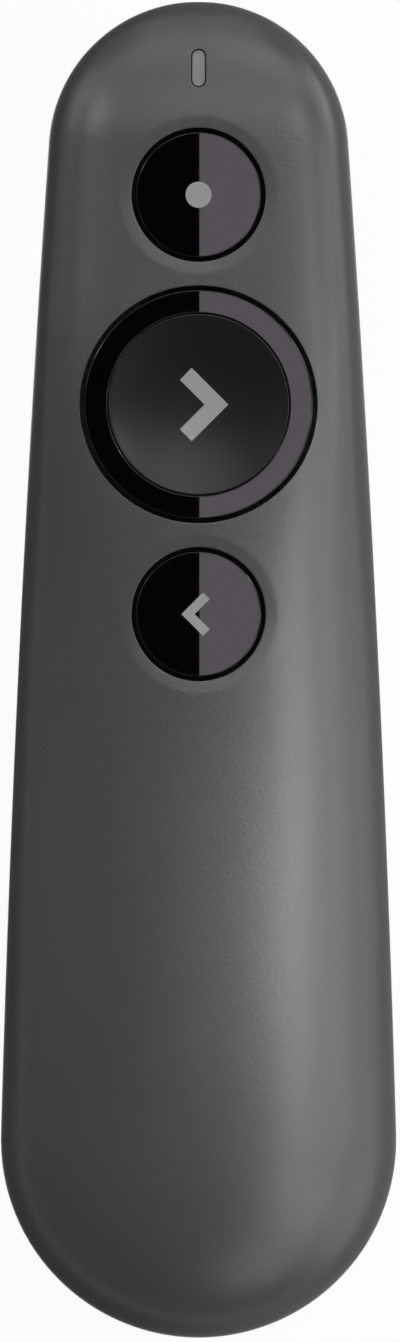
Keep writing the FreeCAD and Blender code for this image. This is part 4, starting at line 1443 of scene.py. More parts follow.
    def grooves(self) -> Mesh:
        """Round-edged bars that press finger grooves into the door behind its front edge.

        Returns:
            The mesh.
        """
        wide, long, deep = self.groove_half, self.groove_width / 2, self.groove_depth
        return joined("grooves", [block("groove", (-wide, y - long, -deep), (wide, y + long, deep),
                                        self.groove_round) for y in self.groove_y])

    def bottom_shell(self) -> Mesh:
        """Bottom shell: the wall less the land, the door's room and the bore for the window.

        Returns:
            The mesh.
        """
        far, roof = self.far, self.door_height + self.seam
        radius, length, start = self.window_bore
        tools = (block("land", (-far, -far, -far), (far, far, 0.0)),
                 block("room", (-far, -far, -far), (far, self.door_y, roof)),
                 rod("bore", radius, length, (0.0, start, LASER_Z), Axis.TO_NOSE, 96))
        wall = self.solid()
        for tool in tools:
            wall = carved(wall, tool, "DIFFERENCE")
        return wall

    def door(self) -> Mesh:
        """Battery door: what of the wall lies behind and below the seam and above the land.

        Returns:
            The mesh.
        """
        far = self.far
        room = block("room", (-far, -far, 0.0), (far, self.door_y - self.seam, self.door_height))
        return carved(carved(self.solid(), room, "INTERSECT"), self.grooves(), "DIFFERENCE")

    def build(self, palette: Palette) -> None:
        """Make the two pieces in place of their CAD nodes.

        Args:
            palette: The materials.
        """
        plastic = palette["graphite_matt"]
        made = [self.bottom_shell(), self.shell_features(), self.lap()]
        bottom = shown(joined("bottom_shell_skin", made), plastic, 40.0)
        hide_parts("bottom_shell")
        made = [self.door(), self.door_features()]
        door = shown(joined("battery_door_skin", made), plastic, 40.0)
        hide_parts("battery_door")
        for piece, body in ((bottom, "case"), (door, "door")):
            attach(piece, body)


@dataclass(frozen=True)
class ArrowSign:
    """An arrowhead of two square-cut arms at right angles."""

    width: float
    arm: float
    tip: float
    towards: int

    def edges(self, rows: int) -> tuple[np.ndarray, np.ndarray]:
        """Outer and inner edge of the two arms, as matching points from end to end.

        The outer edge runs from (tip - rise, rise) over (tip, 0) to (tip - rise, -rise);
        the inner edge is the same moved in by the arm's width.

        Args:
            rows: Steps along each arm.

        Returns:
            Outer and inner points.
        """
        rise, thick = self.arm / math.sqrt(2), self.width / math.sqrt(2)
        share = np.linspace(1.0, -1.0, 2 * rows + 1)
        outer = np.stack([self.tip - rise * np.abs(share), rise * share], axis=-1)
        run = rise - thick
        inner = np.stack([self.tip - 2 * thick - run * np.abs(share), run * share], axis=-1)
        flip = np.array([self.towards, 1.0])
        return outer * flip, inner * flip


@dataclass
class SmallButton:
    """One of the two small gloss buttons, with its sign let into the cap."""

    name: str
    body: str
    y: float
    sign: ArrowSign | None
    top: float = 24.05
    radius: float = 6.12
    flange: float = 0.75
    flange_lap: float = 0.3
    flange_thick: float = 0.8
    skirt: float = 2.75
    plate: float = 1.2
    skirt_wall: float = 1.0
    stem: float = 1.6
    stem_foot: float = 21.2
    edge: float = 0.1
    dot_radius: float = 1.275
    proud: float = 0.012
    sign_depth: float = 0.35

    def cap(self) -> Mesh:
        """Cap: a turned cup with a rounded top edge and a stem.

        Returns:
            The mesh.
        """
        top, low = self.top, self.top - self.skirt
        inner = self.radius - self.skirt_wall
        profile = filleted([
            (0.0, top, 0), (self.radius, top, self.edge), (self.radius, low, 0.08),
            (inner, low, 0.08), (inner, top - self.plate, 0.2), (self.stem, top - self.plate, 0.2),
            (self.stem, self.stem_foot, 0.15), (0.0, self.stem_foot, 0)])
        return lathe(f"{self.name}_cap", profile, (0.0, self.y, 0.0))

    def flange_ring(self) -> Mesh:
        """Flange that stops the cap under the skin, left matt by the mould.

        Returns:
            The mesh.
        """
        inner, outer = self.radius - self.flange_lap, self.radius + self.flange
        low = self.top - self.skirt
        high, seam = low + self.flange_thick, (inner, low + self.flange_thick / 2, 0)
        corners = [seam, (inner, high, 0), (outer, high, 0.08), (outer, low, 0.08),
                   (inner, low, 0), seam]
        return lathe(f"{self.body}_flange", filleted(corners, 4), (0.0, self.y, 0.0))

    def sign_mesh(self) -> Mesh:
        """Sign: a disc or an arrowhead, a hair proud of the cap.

        Returns:
            The mesh.
        """
        name, top, low = f"{self.name}_sign", self.top + self.proud, self.top - self.sign_depth
        if self.sign is None:
            profile = filleted([(0.0, top, 0), (self.dot_radius, top, self.proud / 2),
                                (self.dot_radius, low, 0), (0.0, low, 0)], 3, 0.01)
            return lathe(name, profile, (0.0, self.y, 0.0), segments=64)
        return closed(name, arrow_loop(self.sign, self.y, lambda x, y: np.full_like(x, top), low))

    def build(self, palette: Palette) -> None:
        """Make cap and sign in place of their CAD nodes, and the flange.

        Args:
            palette: The materials.
        """
        cap = shown(self.cap(), palette["button_gloss"], 50.0)
        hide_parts(f"{self.body}_cap")
        sign = shown(self.sign_mesh(), palette["sign_inlay"], 40.0)
        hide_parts(f"{self.body}_dot" if self.sign is None else f"{self.body}_sign")
        flange = shown(self.flange_ring(), palette["skirt_matt"], 50.0)
        for piece in (cap, sign, flange):
            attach(piece, self.body)


def arrow_loop(sign: ArrowSign, y: float, height: Callable[[np.ndarray, np.ndarray], np.ndarray],
               low: float, rows: int = 14) -> np.ndarray:
    """An arrowhead as a solid: its cross section carried along both arms and closed at the ends.

    The section goes down the outer edge, under the arm, up the inner edge and back over
    the top; the end rows shrink onto the section's own middle.

    Args:
        sign: The arrowhead.
        y: Place of its middle.
        height: Function of x and y that gives the top surface.
        low: Height of the underside.
        rows: Rows in each arm.

    Returns:
        Grid of points whose columns wrap.
    """
    outer, inner = sign.edges(rows)
    shares = np.array([0.0, 0.02, 0.25, 0.5, 0.75, 0.98, 1.0])
    x = blend(outer[:, :1], inner[:, :1], shares)
    place = blend(outer[:, 1:], inner[:, 1:], shares) + y
    top = np.stack([x, place, height(x, place)], axis=-1)
    under = np.stack([x[:, ::-1], place[:, ::-1], np.full_like(x, low)], axis=-1)
    grid = np.concatenate([top, under], axis=1)
    ends = [np.broadcast_to(row.mean(axis=0), row.shape) for row in (grid[0], grid[-1])]
    return np.concatenate([ends[0][None], grid, ends[1][None]])


@dataclass
class NextButton:
    """The large button: a gloss ring round a hollowed satin pad with its arrow."""

    y: float = NEXT_BUTTON_Y
    ring_top: float = 24.2
    ring_radius: float = 11.17
    ring_plate: float = 1.0
    skirt: float = 2.75
    skirt_wall: float = 1.0
    pad_radius: float = 8.91
    pad_fit: float = 0.04
    pad_rim: float = 24.1
    pad_height: float = 2.3
    pad_flange: float = 1.0
    hollow: float = 0.8
    stem: float = 1.6
    stem_foot: float = 21.2
    edge: float = 0.1
    tab_half: float = 3.0
    tab_reach: Pair = (10.2, 12.17)
    tab_thick: float = 0.8
    rim_soft: float = 0.22
    proud: float = 0.012
    sign_low: float = 22.45
    sign: ArrowSign = ArrowSign(1.64, 5.06, 2.91, 1)

    def bowl(self, radius: np.ndarray) -> np.ndarray:
        """Height of the thumb hollow: a sphere that meets the rim at the pad's radius.

        z = rim - hollow + R - sqrt(R^2 - r^2), with R = (pad^2 + hollow^2) / (2 hollow).

        Args:
            radius: Distances from the axis.

        Returns:
            Heights.
        """
        curve = (self.pad_radius**2 + self.hollow**2) / (2 * self.hollow)
        within = np.minimum(radius, self.pad_radius)
        return self.pad_rim - self.hollow + curve - np.sqrt(curve**2 - within**2)

    def ring(self) -> Mesh:
        """Ring: a flat gloss top with rounded edges and a skirt that guides it.

        Returns:
            The mesh.
        """
        top, inner = self.ring_top, self.pad_radius + self.pad_fit
        low, wall = top - self.skirt, self.ring_radius - self.skirt_wall
        under = top - self.ring_plate
        seam = (inner, (top + under) / 2, 0)
        corners = [seam, (inner, top, 0.06), (self.ring_radius, top, self.edge),
                   (self.ring_radius, low, 0.1), (wall, low, 0.1), (wall, under, 0.1),
                   (inner, under, 0.05), seam]
        return lathe("next_button_ring_gloss", filleted(corners), (0.0, self.y, 0.0), segments=160)

    def tabs(self) -> Mesh:
        """The two tabs that stop the ring under the skin, left matt by the mould.

        Returns:
            The mesh.
        """
        low, wide, (near, far) = self.ring_top - self.skirt, self.tab_half, self.tab_reach
        high = low + self.tab_thick
        return joined("next_button_ring_tabs", [
            block("tab", (-wide, self.y + start, low), (wide, self.y + end, high), 0.1)
            for start, end in ((near, far), (-far, -near))])

    def pad(self) -> Mesh:
        """Pad: the hollow, a softened rim, a flange under the ring and a stem.

        Returns:
            The mesh.
        """
        radius, start, flange = self.pad_radius, self.pad_radius - self.rim_soft, self.pad_flange
        inside = np.linspace(0.0, start, 40)
        face = np.stack([inside, self.bowl(inside)], axis=-1)
        rim_z = float(self.bowl(np.array(start)))
        low, shoulder = self.pad_rim - self.pad_height, self.ring_top - self.ring_plate
        skirt = filleted([(start, rim_z, 0), (radius, rim_z + 0.02, 0.16), (radius, shoulder, 0),
                          (radius + flange, shoulder, 0.05), (radius + flange, low, 0.1),
                          (self.stem, low, 0.1), (self.stem, self.stem_foot, 0.15),
                          (0.0, self.stem_foot, 0)])
        outline = np.concatenate([face, skirt[1:]])
        return lathe("next_button_pad_satin", outline, (0.0, self.y, 0.0))

    def sign_mesh(self) -> Mesh:
        """Sign: the arrowhead laid on the hollow, a hair proud of it.

        Returns:
            The mesh.
        """
        def face(x: np.ndarray, y: np.ndarray) -> np.ndarray:
            """Height of the sign over the hollow."""
            return self.bowl(np.hypot(x, y - self.y)) + self.proud

        return closed("next_button_arrow", arrow_loop(self.sign, self.y, face, self.sign_low))

    def build(self, palette: Palette) -> None:
        """Make ring, pad and sign in place of their CAD nodes, and the ring's tabs.

        Args:
            palette: The materials.
        """
        made = ((self.ring(), "button_gloss", "next_button_ring", "gloss_black"),
                (self.pad(), "pad_satin", "next_button_pad", "pad_black"),
                (self.sign_mesh(), "sign_inlay", "next_button_sign", "sign_grey"))
        for mesh, material, node, slot in made:
            piece = shown(mesh, palette[material], 45.0)
            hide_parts(node)
            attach(piece, "next_button")
        tabs = shown(self.tabs(), palette["skirt_matt"], 45.0)
        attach(tabs, "next_button")


@dataclass
class LightPipe:
    """Milky rod whose top shows in the slot over the indicator, on a wider foot."""

    form: CaseForm
    slot: Opening = Opening(INDICATOR_Y, 0.675, INDICATOR_HALF)
    sink: float = 0.25
    low: float = 18.35
    foot_half: Pair = (1.3, 2.5)
    foot_height: float = 1.2
    edge: float = 0.13

    def rod(self) -> Mesh:
        """The rod: rings of the slot's outline, whose top follows the case form.

        A ring moved in by d from the outline drops by e - sqrt(e^2 - (e - d)^2) below the
        form while d is under the edge's rounding e.

        Returns:
            The mesh.
        """
        angle = np.linspace(0.0, math.tau, 72, endpoint=False)
        soft = self.edge * (1 - np.cos(np.linspace(0.0, QUARTER, 6)))
        insets = np.concatenate([[self.slot.radius, 0.0], soft, [0.25, 0.4, self.slot.radius]])
        rings = [self.slot.ring(angle, -inset) for inset in insets]
        x, y = np.array([r[0] for r in rings]), np.array([r[1] for r in rings])
        inner = np.maximum(self.edge - insets, 0.0)[:, None]
        z = self.form.height(Half.UPPER, x, y, self.sink)
        z = z - (self.edge - np.sqrt(self.edge**2 - inner**2))
        z[:2] = self.low
        return closed("light_rod", np.stack([x, y, z], axis=-1))

    def build(self, palette: Palette) -> None:
        """Make the rod and its foot in place of the CAD node.

        Args:
            palette: The materials.
        """
        wide, long = self.foot_half
        foot = block("foot", (-wide, self.slot.y - long, self.low),
                     (wide, self.slot.y + long, self.low + self.foot_height), 0.15)
        mesh = joined("light_pipe_milky", [self.rod(), foot])
        piece = shown(mesh, palette["light_pipe_milk"], 40.0)
        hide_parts("light_pipe")
        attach(piece, "case")


@dataclass(frozen=True)
class Screw:
    """Pan-head screw with a cross recess and a threaded shank."""

    head_radius: float = 1.7
    head_height: float = 1.1
    dome: float = 0.38
    radius: float = 0.9
    length: float = 4.4
    pitch: float = 0.7
    thread: float = 0.14
    recess_reach: float = 0.98
    recess_half: float = 0.18
    recess_depth: float = 0.6
    soft: float = 0.09
    dome_power: float = 2.6
    rim_height: float = 0.12
    run_in: float = 0.6
    point: float = 1.0
    segments: int = 72
    rows_per_turn: int = 7

    def head(self, radius: np.ndarray, angle: np.ndarray) -> np.ndarray:
        """Height of the head's face, negative towards the driver.

        A dome, dome (r / R)^power, with a cross pressed in: the depth is the larger of two
        bars, each a product of two soft steps in x and y.

        Args:
            radius: Distances from the axis.
            angle: Angles round it.

        Returns:
            Heights.
        """
        x, y = radius * np.cos(angle), radius * np.sin(angle)

        def within(place: np.ndarray, reach: float) -> np.ndarray:
            """Soft step: 1 inside the reach and 0 outside."""
            return np.clip((reach - np.abs(place)) / self.soft + 0.5, 0.0, 1.0)

        bars = np.maximum(within(x, self.recess_half) * within(y, self.recess_reach),
                          within(y, self.recess_half) * within(x, self.recess_reach))
        domed = self.dome * (radius / self.head_radius) ** self.dome_power
        return domed - self.head_height + self.recess_depth * bars

    def grid(self) -> np.ndarray:
        """The whole screw as one grid: face, rim, underside, thread and tip.

        The thread's radius is R - depth (1 - cos(2 pi (h / pitch) - a)) / 2 at height h and
        angle a, eased in below the head and drawn in to a point over the last millimetre.

        Returns:
            Grid of points.
        """
        angle = np.linspace(0.0, math.tau, self.segments, endpoint=False)[None]
        even = np.zeros_like(angle)
        face = np.linspace(0.0, self.head_radius, 26)[:, None]
        height = np.arange(0.0, self.length, self.pitch / self.rows_per_turn)[:, None]
        wave = (1 - np.cos(math.tau * height / self.pitch - angle)) / 2
        point = np.clip((self.length - height) / self.point, 0.0, 1.0) ** 0.5
        shank = (self.radius - self.thread * wave * ease(height / self.run_in)) * point
        rim = np.full((2, self.segments), self.head_radius)
        radius = np.concatenate([face + even, rim, shank, even])
        low = np.array([[-self.rim_height], [0.0]])
        z = np.concatenate([self.head(face, angle), low + even, height + even, self.length + even])
        return np.stack([radius * np.cos(angle), radius * np.sin(angle), z], axis=-1)


@dataclass
class Screws:
    """All screws of the clicker, one piece per CAD node."""

    screw: Screw = Screw()

    def build(self, palette: Palette) -> None:
        """Make the three groups in place of their CAD nodes.

        Args:
            palette: The materials.
        """
        groups = {
            "board_screws": (BOARD_SCREWS, 16.6, Axis.UP),
            "case_screws": (CASE_SCREWS, 10.6, Axis.UP),
            "tray_screws": (TRAY_SCREWS, 12.05, Axis.DOWN),
        }
        grid = self.screw.grid()
        for node, (places, seat, axis) in groups.items():
            mesh = closed(f"{node}_threaded", *(axis.turn(grid, (x, y, seat)) for x, y in places))
            piece = shown(mesh, palette["screw_steel"], 30.0)
            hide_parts(node)
            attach(piece, "case")


@dataclass(frozen=True)
class WoundSpring:
    """Battery spring: a wire wound on a cone, with closed turns at both ends."""

    node: str
    at: Triple
    axis: Axis
    base: float = 3.4
    tip: float = 2.4
    length: float = 4.5
    wire: float = 0.5
    turns: float = 5.5
    end_turns: float = 1.0
    eased: float = 0.35
    steps: int = 32
    sides: int = 12

    def grid(self) -> np.ndarray:
        """Tube along the winding.

        The wire's middle is at radius blend(base, tip, h / length) - wire / 2. Its height h
        stays half a wire from either end for the closed turns and rises evenly between.

        Returns:
            Grid of points.
        """
        count = int(self.turns * self.steps) + 1
        turn = np.linspace(0.0, self.turns, count)
        rising = self.turns - 2 * self.end_turns
        even = np.clip((turn - self.end_turns) / rising, 0.0, 1.0)
        share = self.eased * ease(even) + (1 - self.eased) * even
        half = self.wire / 2
        height = half + (self.length - self.wire) * share
        reach = blend(self.base, self.tip, height / self.length) - half
        angle = math.tau * turn
        out = np.stack([np.cos(angle), np.sin(angle), 0 * angle], axis=-1)
        middle = out * reach[:, None] + np.stack([0 * angle, 0 * angle, height], axis=-1)
        round_ = np.linspace(0.0, math.tau, self.sides, endpoint=False)
        thick = np.full(count, half)
        middle = np.concatenate([middle[:1], middle, middle[-1:]])
        out = np.concatenate([out[:1], out, out[-1:]])
        thick = np.concatenate([[0.0], thick, [0.0]])[:, None, None]
        along = np.array([0.0, 0.0, 1.0])
        return middle[:, None] + thick * (np.cos(round_)[:, None] * out[:, None]
                                          + np.sin(round_)[:, None] * along)

    def build(self, palette: Palette) -> None:
        """Make the spring in place of its CAD node.

        Args:
            palette: The materials.
        """
        mesh = closed(f"{self.node}_wound", self.axis.turn(self.grid(), self.at))
        piece = shown(mesh, palette["spring_steel"], 60.0)
        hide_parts(self.node)
        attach(piece, "case")


@dataclass(frozen=True)
class Cell:
    """A battery: steel can with a nub, in a shrunk sleeve of two colours."""

    node: str
    at: Triple
    axis: Axis
    length: float = 44.5
    radius: float = 5.25
    nub: float = 1.9
    nub_height: float = 0.8
    sleeve: float = 0.12
    band_at: float = 34.5
    lips: Pair = (0.7, 0.9)

    def can(self) -> np.ndarray:
        """Outline of the can, from the middle of its flat end to the middle of its nub.

        Returns:
            Corners of the outline.
        """
        top = self.length - self.nub_height
        inner = self.radius - self.sleeve
        return filleted([
            (0.0, 0.0, 0), (3.5, 0.0, 0.12), (3.75, 0.22, 0.1), (4.3, 0.22, 0.1), (inner, 0.4, 0.2),
            (inner, top - 0.25, 0.3), (3.2, top - 0.25, 0.1), (3.0, top - 0.05, 0.05),
            (self.nub, top - 0.05, 0.08), (self.nub, self.length, 0.25), (0.0, self.length, 0)], 4)

    def sleeve_ring(self, low: float, high: float, low_lip: float, high_lip: float) -> np.ndarray:
        """Outline of a stretch of sleeve, closed on itself, with lips folded over its ends.

        Args:
            low: Where it starts along the cell.
            high: Where it ends.
            low_lip: How far its start is folded inwards, 0 for a plain edge.
            high_lip: How far its end is folded inwards, 0 for a plain edge.

        Returns:
            Array of (radius, height) points.
        """
        outer, inner = self.radius, self.radius - self.sleeve + 0.01
        thick = self.sleeve
        first = outer - low_lip if low_lip else inner
        corners = [(first, low + thick, 0), (first, low, 0.02),
                   (outer, low, 0.3 if low_lip else 0.03), (outer, high, 0.3 if high_lip else 0.03)]
        if high_lip:
            corners += [(outer - high_lip, high, 0.02), (outer - high_lip, high - thick, 0.02),
                        (inner - 0.25, high - thick - 0.1, 0.02)]
        else:
            corners += [(inner, high, 0)]
        corners += [(inner, (low + high) / 2, 0), (inner, low + thick + 0.3, 0), corners[0]]
        return filleted(corners, 4, 0.02)

    def build(self, palette: Palette) -> None:
        """Make the can in place of the CAD node, and the two stretches of sleeve.

        Args:
            palette: The materials.
        """
        sleeve = self.sleeve_ring(0.0, self.band_at, self.lips[0], 0.0)
        band = self.sleeve_ring(self.band_at, self.length - self.nub_height, 0.0, self.lips[1])
        made = (("can", self.can(), "cell_steel", "contact_nickel"),
                ("sleeve", sleeve, "cell_sleeve", "battery_wrap"),
                ("band", band, "cell_band", "battery_wrap"))
        for name, outline, material, slot in made:
            mesh = lathe(f"{self.node}_{name}", outline, self.at, self.axis, 96)
            piece = shown(mesh, palette[material], 40.0)
            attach(piece, "case")
            if name == "can":
                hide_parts(self.node)


@dataclass
class Receiver:
    """The stored radio receiver: a housing with finger ridges and a plug with its tongue."""

    middle_y: float = 3.3
    housing: tuple[float, float, float, float] = (-9.35, -2.65, 4.7, 10.8)
    half_width: float = 7.2
    plug_end: float = 9.35
    plug_half: float = 6.0
    plug_z: Pair = (5.5, 10.0)
    wall: float = 0.35
    window: float = 1.15
    window_x: float = 3.9
    window_y: float = 2.5
    ridges: int = 4
    ridge_x: Pair = (1.2, 1.65)
    ridge_step: float = 0.95
    ridge_half: Pair = (5.0, 0.22)
    tongue_end: float = 8.75
    tongue_z: Pair = (5.85, 7.75)
    pad_y: tuple[float, ...] = (-3.6, -1.25, 1.25, 3.6)
    pad_x: Pair = (3.4, 8.3)
    pad_z: Pair = (7.7, 7.8)
    pad_half: float = 0.55

    def shell(self) -> Mesh:
        """Plug shell: a folded tube open at its end, with two latch windows in each broad side.

        Returns:
            The mesh.
        """
        low, high = self.plug_z
        left, right, y, wall = self.housing[1], self.plug_end, self.middle_y, self.wall
        wide, window = self.plug_half, self.window
        tube = block("receiver_plug_shell", (left, y - wide, low), (right, y + wide, high), 0.5)
        room = block("room", (left - 1.0, y - wide + wall, low + wall),
                     (right + 1.0, y + wide - wall, high - wall), 0.25)
        x, latch_y = self.window_x, [y + side * self.window_y for side in SIDES]
        latches = [block("latch", (x - window, middle - window, z - 0.7),
                         (x + window, middle + window, z + 0.7))
                   for middle in latch_y for z in (low, high)]
        return carved(carved(tube, room, "DIFFERENCE"), joined("latches", latches), "DIFFERENCE")

    def body(self) -> Mesh:
        """Housing with rounded edges and four ridges cut in across both broad sides.

        Returns:
            The mesh.
        """
        left, right, low, high = self.housing
        (long, deep), (start, end) = self.ridge_half, self.ridge_x
        y, wide = self.middle_y, self.half_width
        body = block("receiver_housing_ridged", (left, y - wide, low), (right, y + wide, high), 0.7)
        cuts = [block("cut", (left + start + self.ridge_step * k, y - long, z - deep),
                      (left + end + self.ridge_step * k, y + long, z + deep), 0.12)
                for k in range(self.ridges) for z in (low, high)]
        return carved(body, joined("cuts", cuts), "DIFFERENCE")

    def build(self, palette: Palette) -> None:
        """Make the receiver in place of its CAD nodes, with contact pads on the tongue.

        Args:
            palette: The materials.
        """
        y, inner = self.middle_y, self.plug_half - self.wall
        tongue = block("receiver_tongue_block", (self.housing[1], y - inner, self.tongue_z[0]),
                       (self.tongue_end, y + inner, self.tongue_z[1]), 0.2)
        (start, end), (low, high), half = self.pad_x, self.pad_z, self.pad_half
        pads = joined("receiver_pads", [
            block("pad", (start, y + middle - half, low), (end, y + middle + half, high), 0.04)
            for middle in self.pad_y])
        made = ((self.body(), "receiver_plastic", "receiver_housing", "receiver_black"),
                (self.shell(), "plug_steel", "receiver_plug", "plug_steel"),
                (tongue, "tongue_plastic", "receiver_tongue", "receiver_black"),
                (pads, "pad_gold", None, "brass"))
        for mesh, material, node, slot in made:
            piece = shown(mesh, palette[material])
            if node:
                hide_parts(node)
            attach(piece, "case")


class Sky(Enum):
    """Strengths of the studio's backdrop: white for the eye, dim light from the room."""

    WHITE = 1.0
    ROOM = 0.167


@dataclass(frozen=True)
class SoftBox:
    """A round soft light facing a place on the clicker.

    Angles are in degrees, from straight up and round from +X; lengths are in metres, and
    the radiance is what its face shows.
    """

    name: str
    polar: float
    azimuth: float
    radiance: float
    size: float = 0.24
    reach: float = 0.8
    aim: Pair = (0.0, 0.0)
    spread: float = 180.0
    face: float = 0.022

    def hang(self) -> None:
        """Hang the light at its reach from the place that it faces."""
        data = bpy.data.lights.new(self.name, "AREA")
        data.shape, data.size, data.spread = "DISK", self.size, math.radians(self.spread)
        data.energy = self.radiance * (math.pi * self.size / 2) ** 2
        polar, azimuth = math.radians(self.polar), math.radians(self.azimuth)
        lamp = linked(self.name, data)
        lamp.location = (self.aim[0] + self.reach * math.sin(polar) * math.cos(azimuth),
                         self.aim[1] + self.reach * math.sin(polar) * math.sin(azimuth),
                         self.face + self.reach * math.cos(polar))
        lamp.rotation_euler = (0.0, polar, azimuth)
        lamp.visible_camera = False


@dataclass
class Studio:
    """Floor, lights and camera. The camera looks straight down, as the photograph does."""

    distance: float = 1.5
    aim: Triple = (0.000142, -0.000123, 0.0169)
    long_side: float = 0.13163
    sensor: float = 36.0
    clip: Pair = (0.01, 20.0)
    button_half: float = 0.0125
    button_run: Pair = (-0.004, 0.056)
    card_height: float = 3.0
    card_radiance: float = 2.0
    card_tint: Triple = (1.0, 0.89, 1.02)
    floor_glow: float = 0.95
    frame_gap: float = 0.006
    frame_reach: float = 0.45
    frame_glow: Pair = (0.10, 0.33)
    frame_fade: Pair = (-0.02, 0.02)
    frame_height: float = 1.0
    floor_half: float = 6.0
    horizon: float = 0.07

    def camera(self) -> None:
        """Camera over the button face, its long side along the case."""
        data = bpy.data.cameras.new("photo_camera")
        data.sensor_width = self.sensor
        data.lens = self.sensor * self.distance / self.long_side
        data.clip_start, data.clip_end = self.clip
        camera = linked("photo_camera", data)
        camera.location = (self.aim[0], self.aim[1], self.aim[2] + self.distance)
        bpy.context.scene.camera = camera

    def soft_boxes(self) -> tuple[SoftBox, ...]:
        """The lights: most from the right, some from the nose, and three small pools.

        Returns:
            The lights.
        """
        return (
            SoftBox("nose_high", 20, 90, 1.12, 0.30),
            SoftBox("nose_high_right", 20, 60, 0.60, 0.30),
            SoftBox("right_high_front", 29, 30, 6.1, 0.15),
            SoftBox("right_high_rear", 29, 330, 3.0, 0.15),
            SoftBox("right_rear", 38, 330, 1.7),
            SoftBox("right", 50, 0, 3.0),
            SoftBox("right_front", 50, 60, 1.14, 0.45),
            SoftBox("nose", 50, 90, 0.90, 0.45),
            SoftBox("nose_left", 50, 125, 0.56, 0.45),
            SoftBox("tail_right", 50, 300, 1.0, 0.45),
            SoftBox("right_rear_low", 50, 330, 1.9),
            SoftBox("left_front_low", 64, 150, 1.0, 0.5),
            SoftBox("nose_low", 76, 90, 0.5, 0.5),
            SoftBox("side_low", 76, 0, 0.80, 0.5),
            SoftBox("side_low_front", 76, 30, 1.9, 0.5),
            SoftBox("side_low_rear", 76, 330, 1.1, 0.5),
            SoftBox("nose_pool", 30, 150, 0.06, 0.08, 0.5, (-0.006, 0.048), 8),
            SoftBox("grip_pool", 30, 0, 0.105, 0.07, 0.5, (0.012, -0.012), 13),
            SoftBox("heel_pool", 30, 40, 0.29, 0.07, 0.5, (0.012, -0.030), 13),
        )

    def over_buttons(self) -> Triple:
        """Half width and both ends of the part of the cards' plane that the buttons mirror."""
        grow = 1.0 + self.card_height / self.distance
        return self.button_half * grow, self.button_run[0] * grow, self.button_run[1] * grow

    def card(self) -> None:
        """A narrow, slightly violet card high over the right half, for the gloss of the buttons."""
        wide, low, high = self.over_buttons()
        data = bpy.data.lights.new("button_card", "AREA")
        data.shape, data.size, data.size_y = "RECTANGLE", wide, high - low
        data.energy = self.card_radiance * math.pi * wide * (high - low)
        data.color = self.card_tint
        lamp = linked("button_card", data)
        lamp.location = (wide / 2, (low + high) / 2, self.card_height)
        lamp.visible_camera = False

    def gloss_only(self, name: str, points: list, faces: list, paint: Paint) -> Object:
        """A stage card that nothing but reflections sees.

        Args:
            name: Name of the card.
            points: Its corners.
            faces: Its faces.
            paint: Its material.

        Returns:
            The card.
        """
        mesh = bpy.data.meshes.new(name)
        mesh.from_pydata(points, [], faces)
        mesh.materials.append(paint.material)
        card = linked(name, mesh)
        card.visible_camera = card.visible_diffuse = False
        card.visible_shadow = card.visible_transmission = False
        return card

    def flag(self) -> Object:
        """A black card over the left half, for the gloss of the buttons.

        Returns:
            The card.
        """
        (wide, low, high), z = self.over_buttons(), self.card_height
        paint = Paint("flag_black")
        paint.black()
        points = [(-wide, low, z), (0.0, low, z), (0.0, high, z), (-wide, high, z)]
        return self.gloss_only("black_flag", points, [(0, 3, 2, 1)], paint)

    def surround(self) -> Object:
        """A dark card lying round the clicker, which keeps the rim of the case dark.

        It runs from the outline moved out by the gap to the outline moved out by the
        reach, and glows about three times as much on the right as on the left.

        Returns:
            The card.
        """
        form = CaseForm()
        angle = np.linspace(0.0, QUARTER, 24)
        y = np.concatenate([form.tail_y - form.tail * np.cos(angle),
                            form.nose_y + form.nose * np.sin(angle)])
        rings = []
        for out in (self.frame_gap, self.frame_reach):
            x, place = form.outline(y, -out / MM)
            ring = np.stack([x, place, np.full_like(x, self.frame_height)], axis=-1)
            rings.append(np.concatenate([ring, ring[-2:0:-1] * MIRROR]) * MM)
        count = len(rings[0])
        here = np.arange(count)
        ahead = (here + 1) % count
        flat = np.stack([here, ahead, ahead + count, here + count], axis=-1)
        paint = Paint("surround_dark")
        paint.black()
        paint.shader.inputs["Emission Color"].default_value = (1.0, 1.0, 1.0, 1.0)
        split = paint.tree.nodes.new("ShaderNodeSeparateXYZ")
        paint.link(paint.place, "Object", split, "Vector")
        shade = paint.between(split, "X", *self.frame_glow, *self.frame_fade)
        paint.link(shade, "Result", paint.shader, "Emission Strength")
        points = np.concatenate(rings).tolist()
        return self.gloss_only("dark_surround", points, flat.tolist(), paint)

    def floor(self) -> Object:
        """White floor: most of its white is its own, and the rest keeps the clicker's shadow.

        Returns:
            The floor.
        """
        mesh = bpy.data.meshes.new("floor")
        far = self.floor_half
        mesh.from_pydata([(-far, -far, 0), (far, -far, 0), (far, far, 0), (-far, far, 0)],
                         [], [(0, 1, 2, 3)])
        paint = Paint("floor_white")
        paint.base(0.9, 0.0, 0.1)
        paint.shader.inputs["Base Color"].default_value = (0.95, 0.95, 0.95, 1.0)
        tree = paint.tree
        glow = tree.nodes.new("ShaderNodeEmission")
        glow.inputs["Strength"].default_value = Sky.WHITE.value
        share = tree.nodes.new("ShaderNodeMath")
        share.operation = "MULTIPLY"
        share.inputs[1].default_value = self.floor_glow
        seen = self.seen(tree, "Is Camera Ray", "Is Glossy Ray", "Is Transmission Ray")
        tree.links.new(seen, share.inputs[0])
        mix = self.mixed(tree, share.outputs[0], paint.shader, glow)
        paint.link(mix, "Shader", paint.output, "Surface")
        mesh.materials.append(paint.material)
        return linked("floor", mesh)

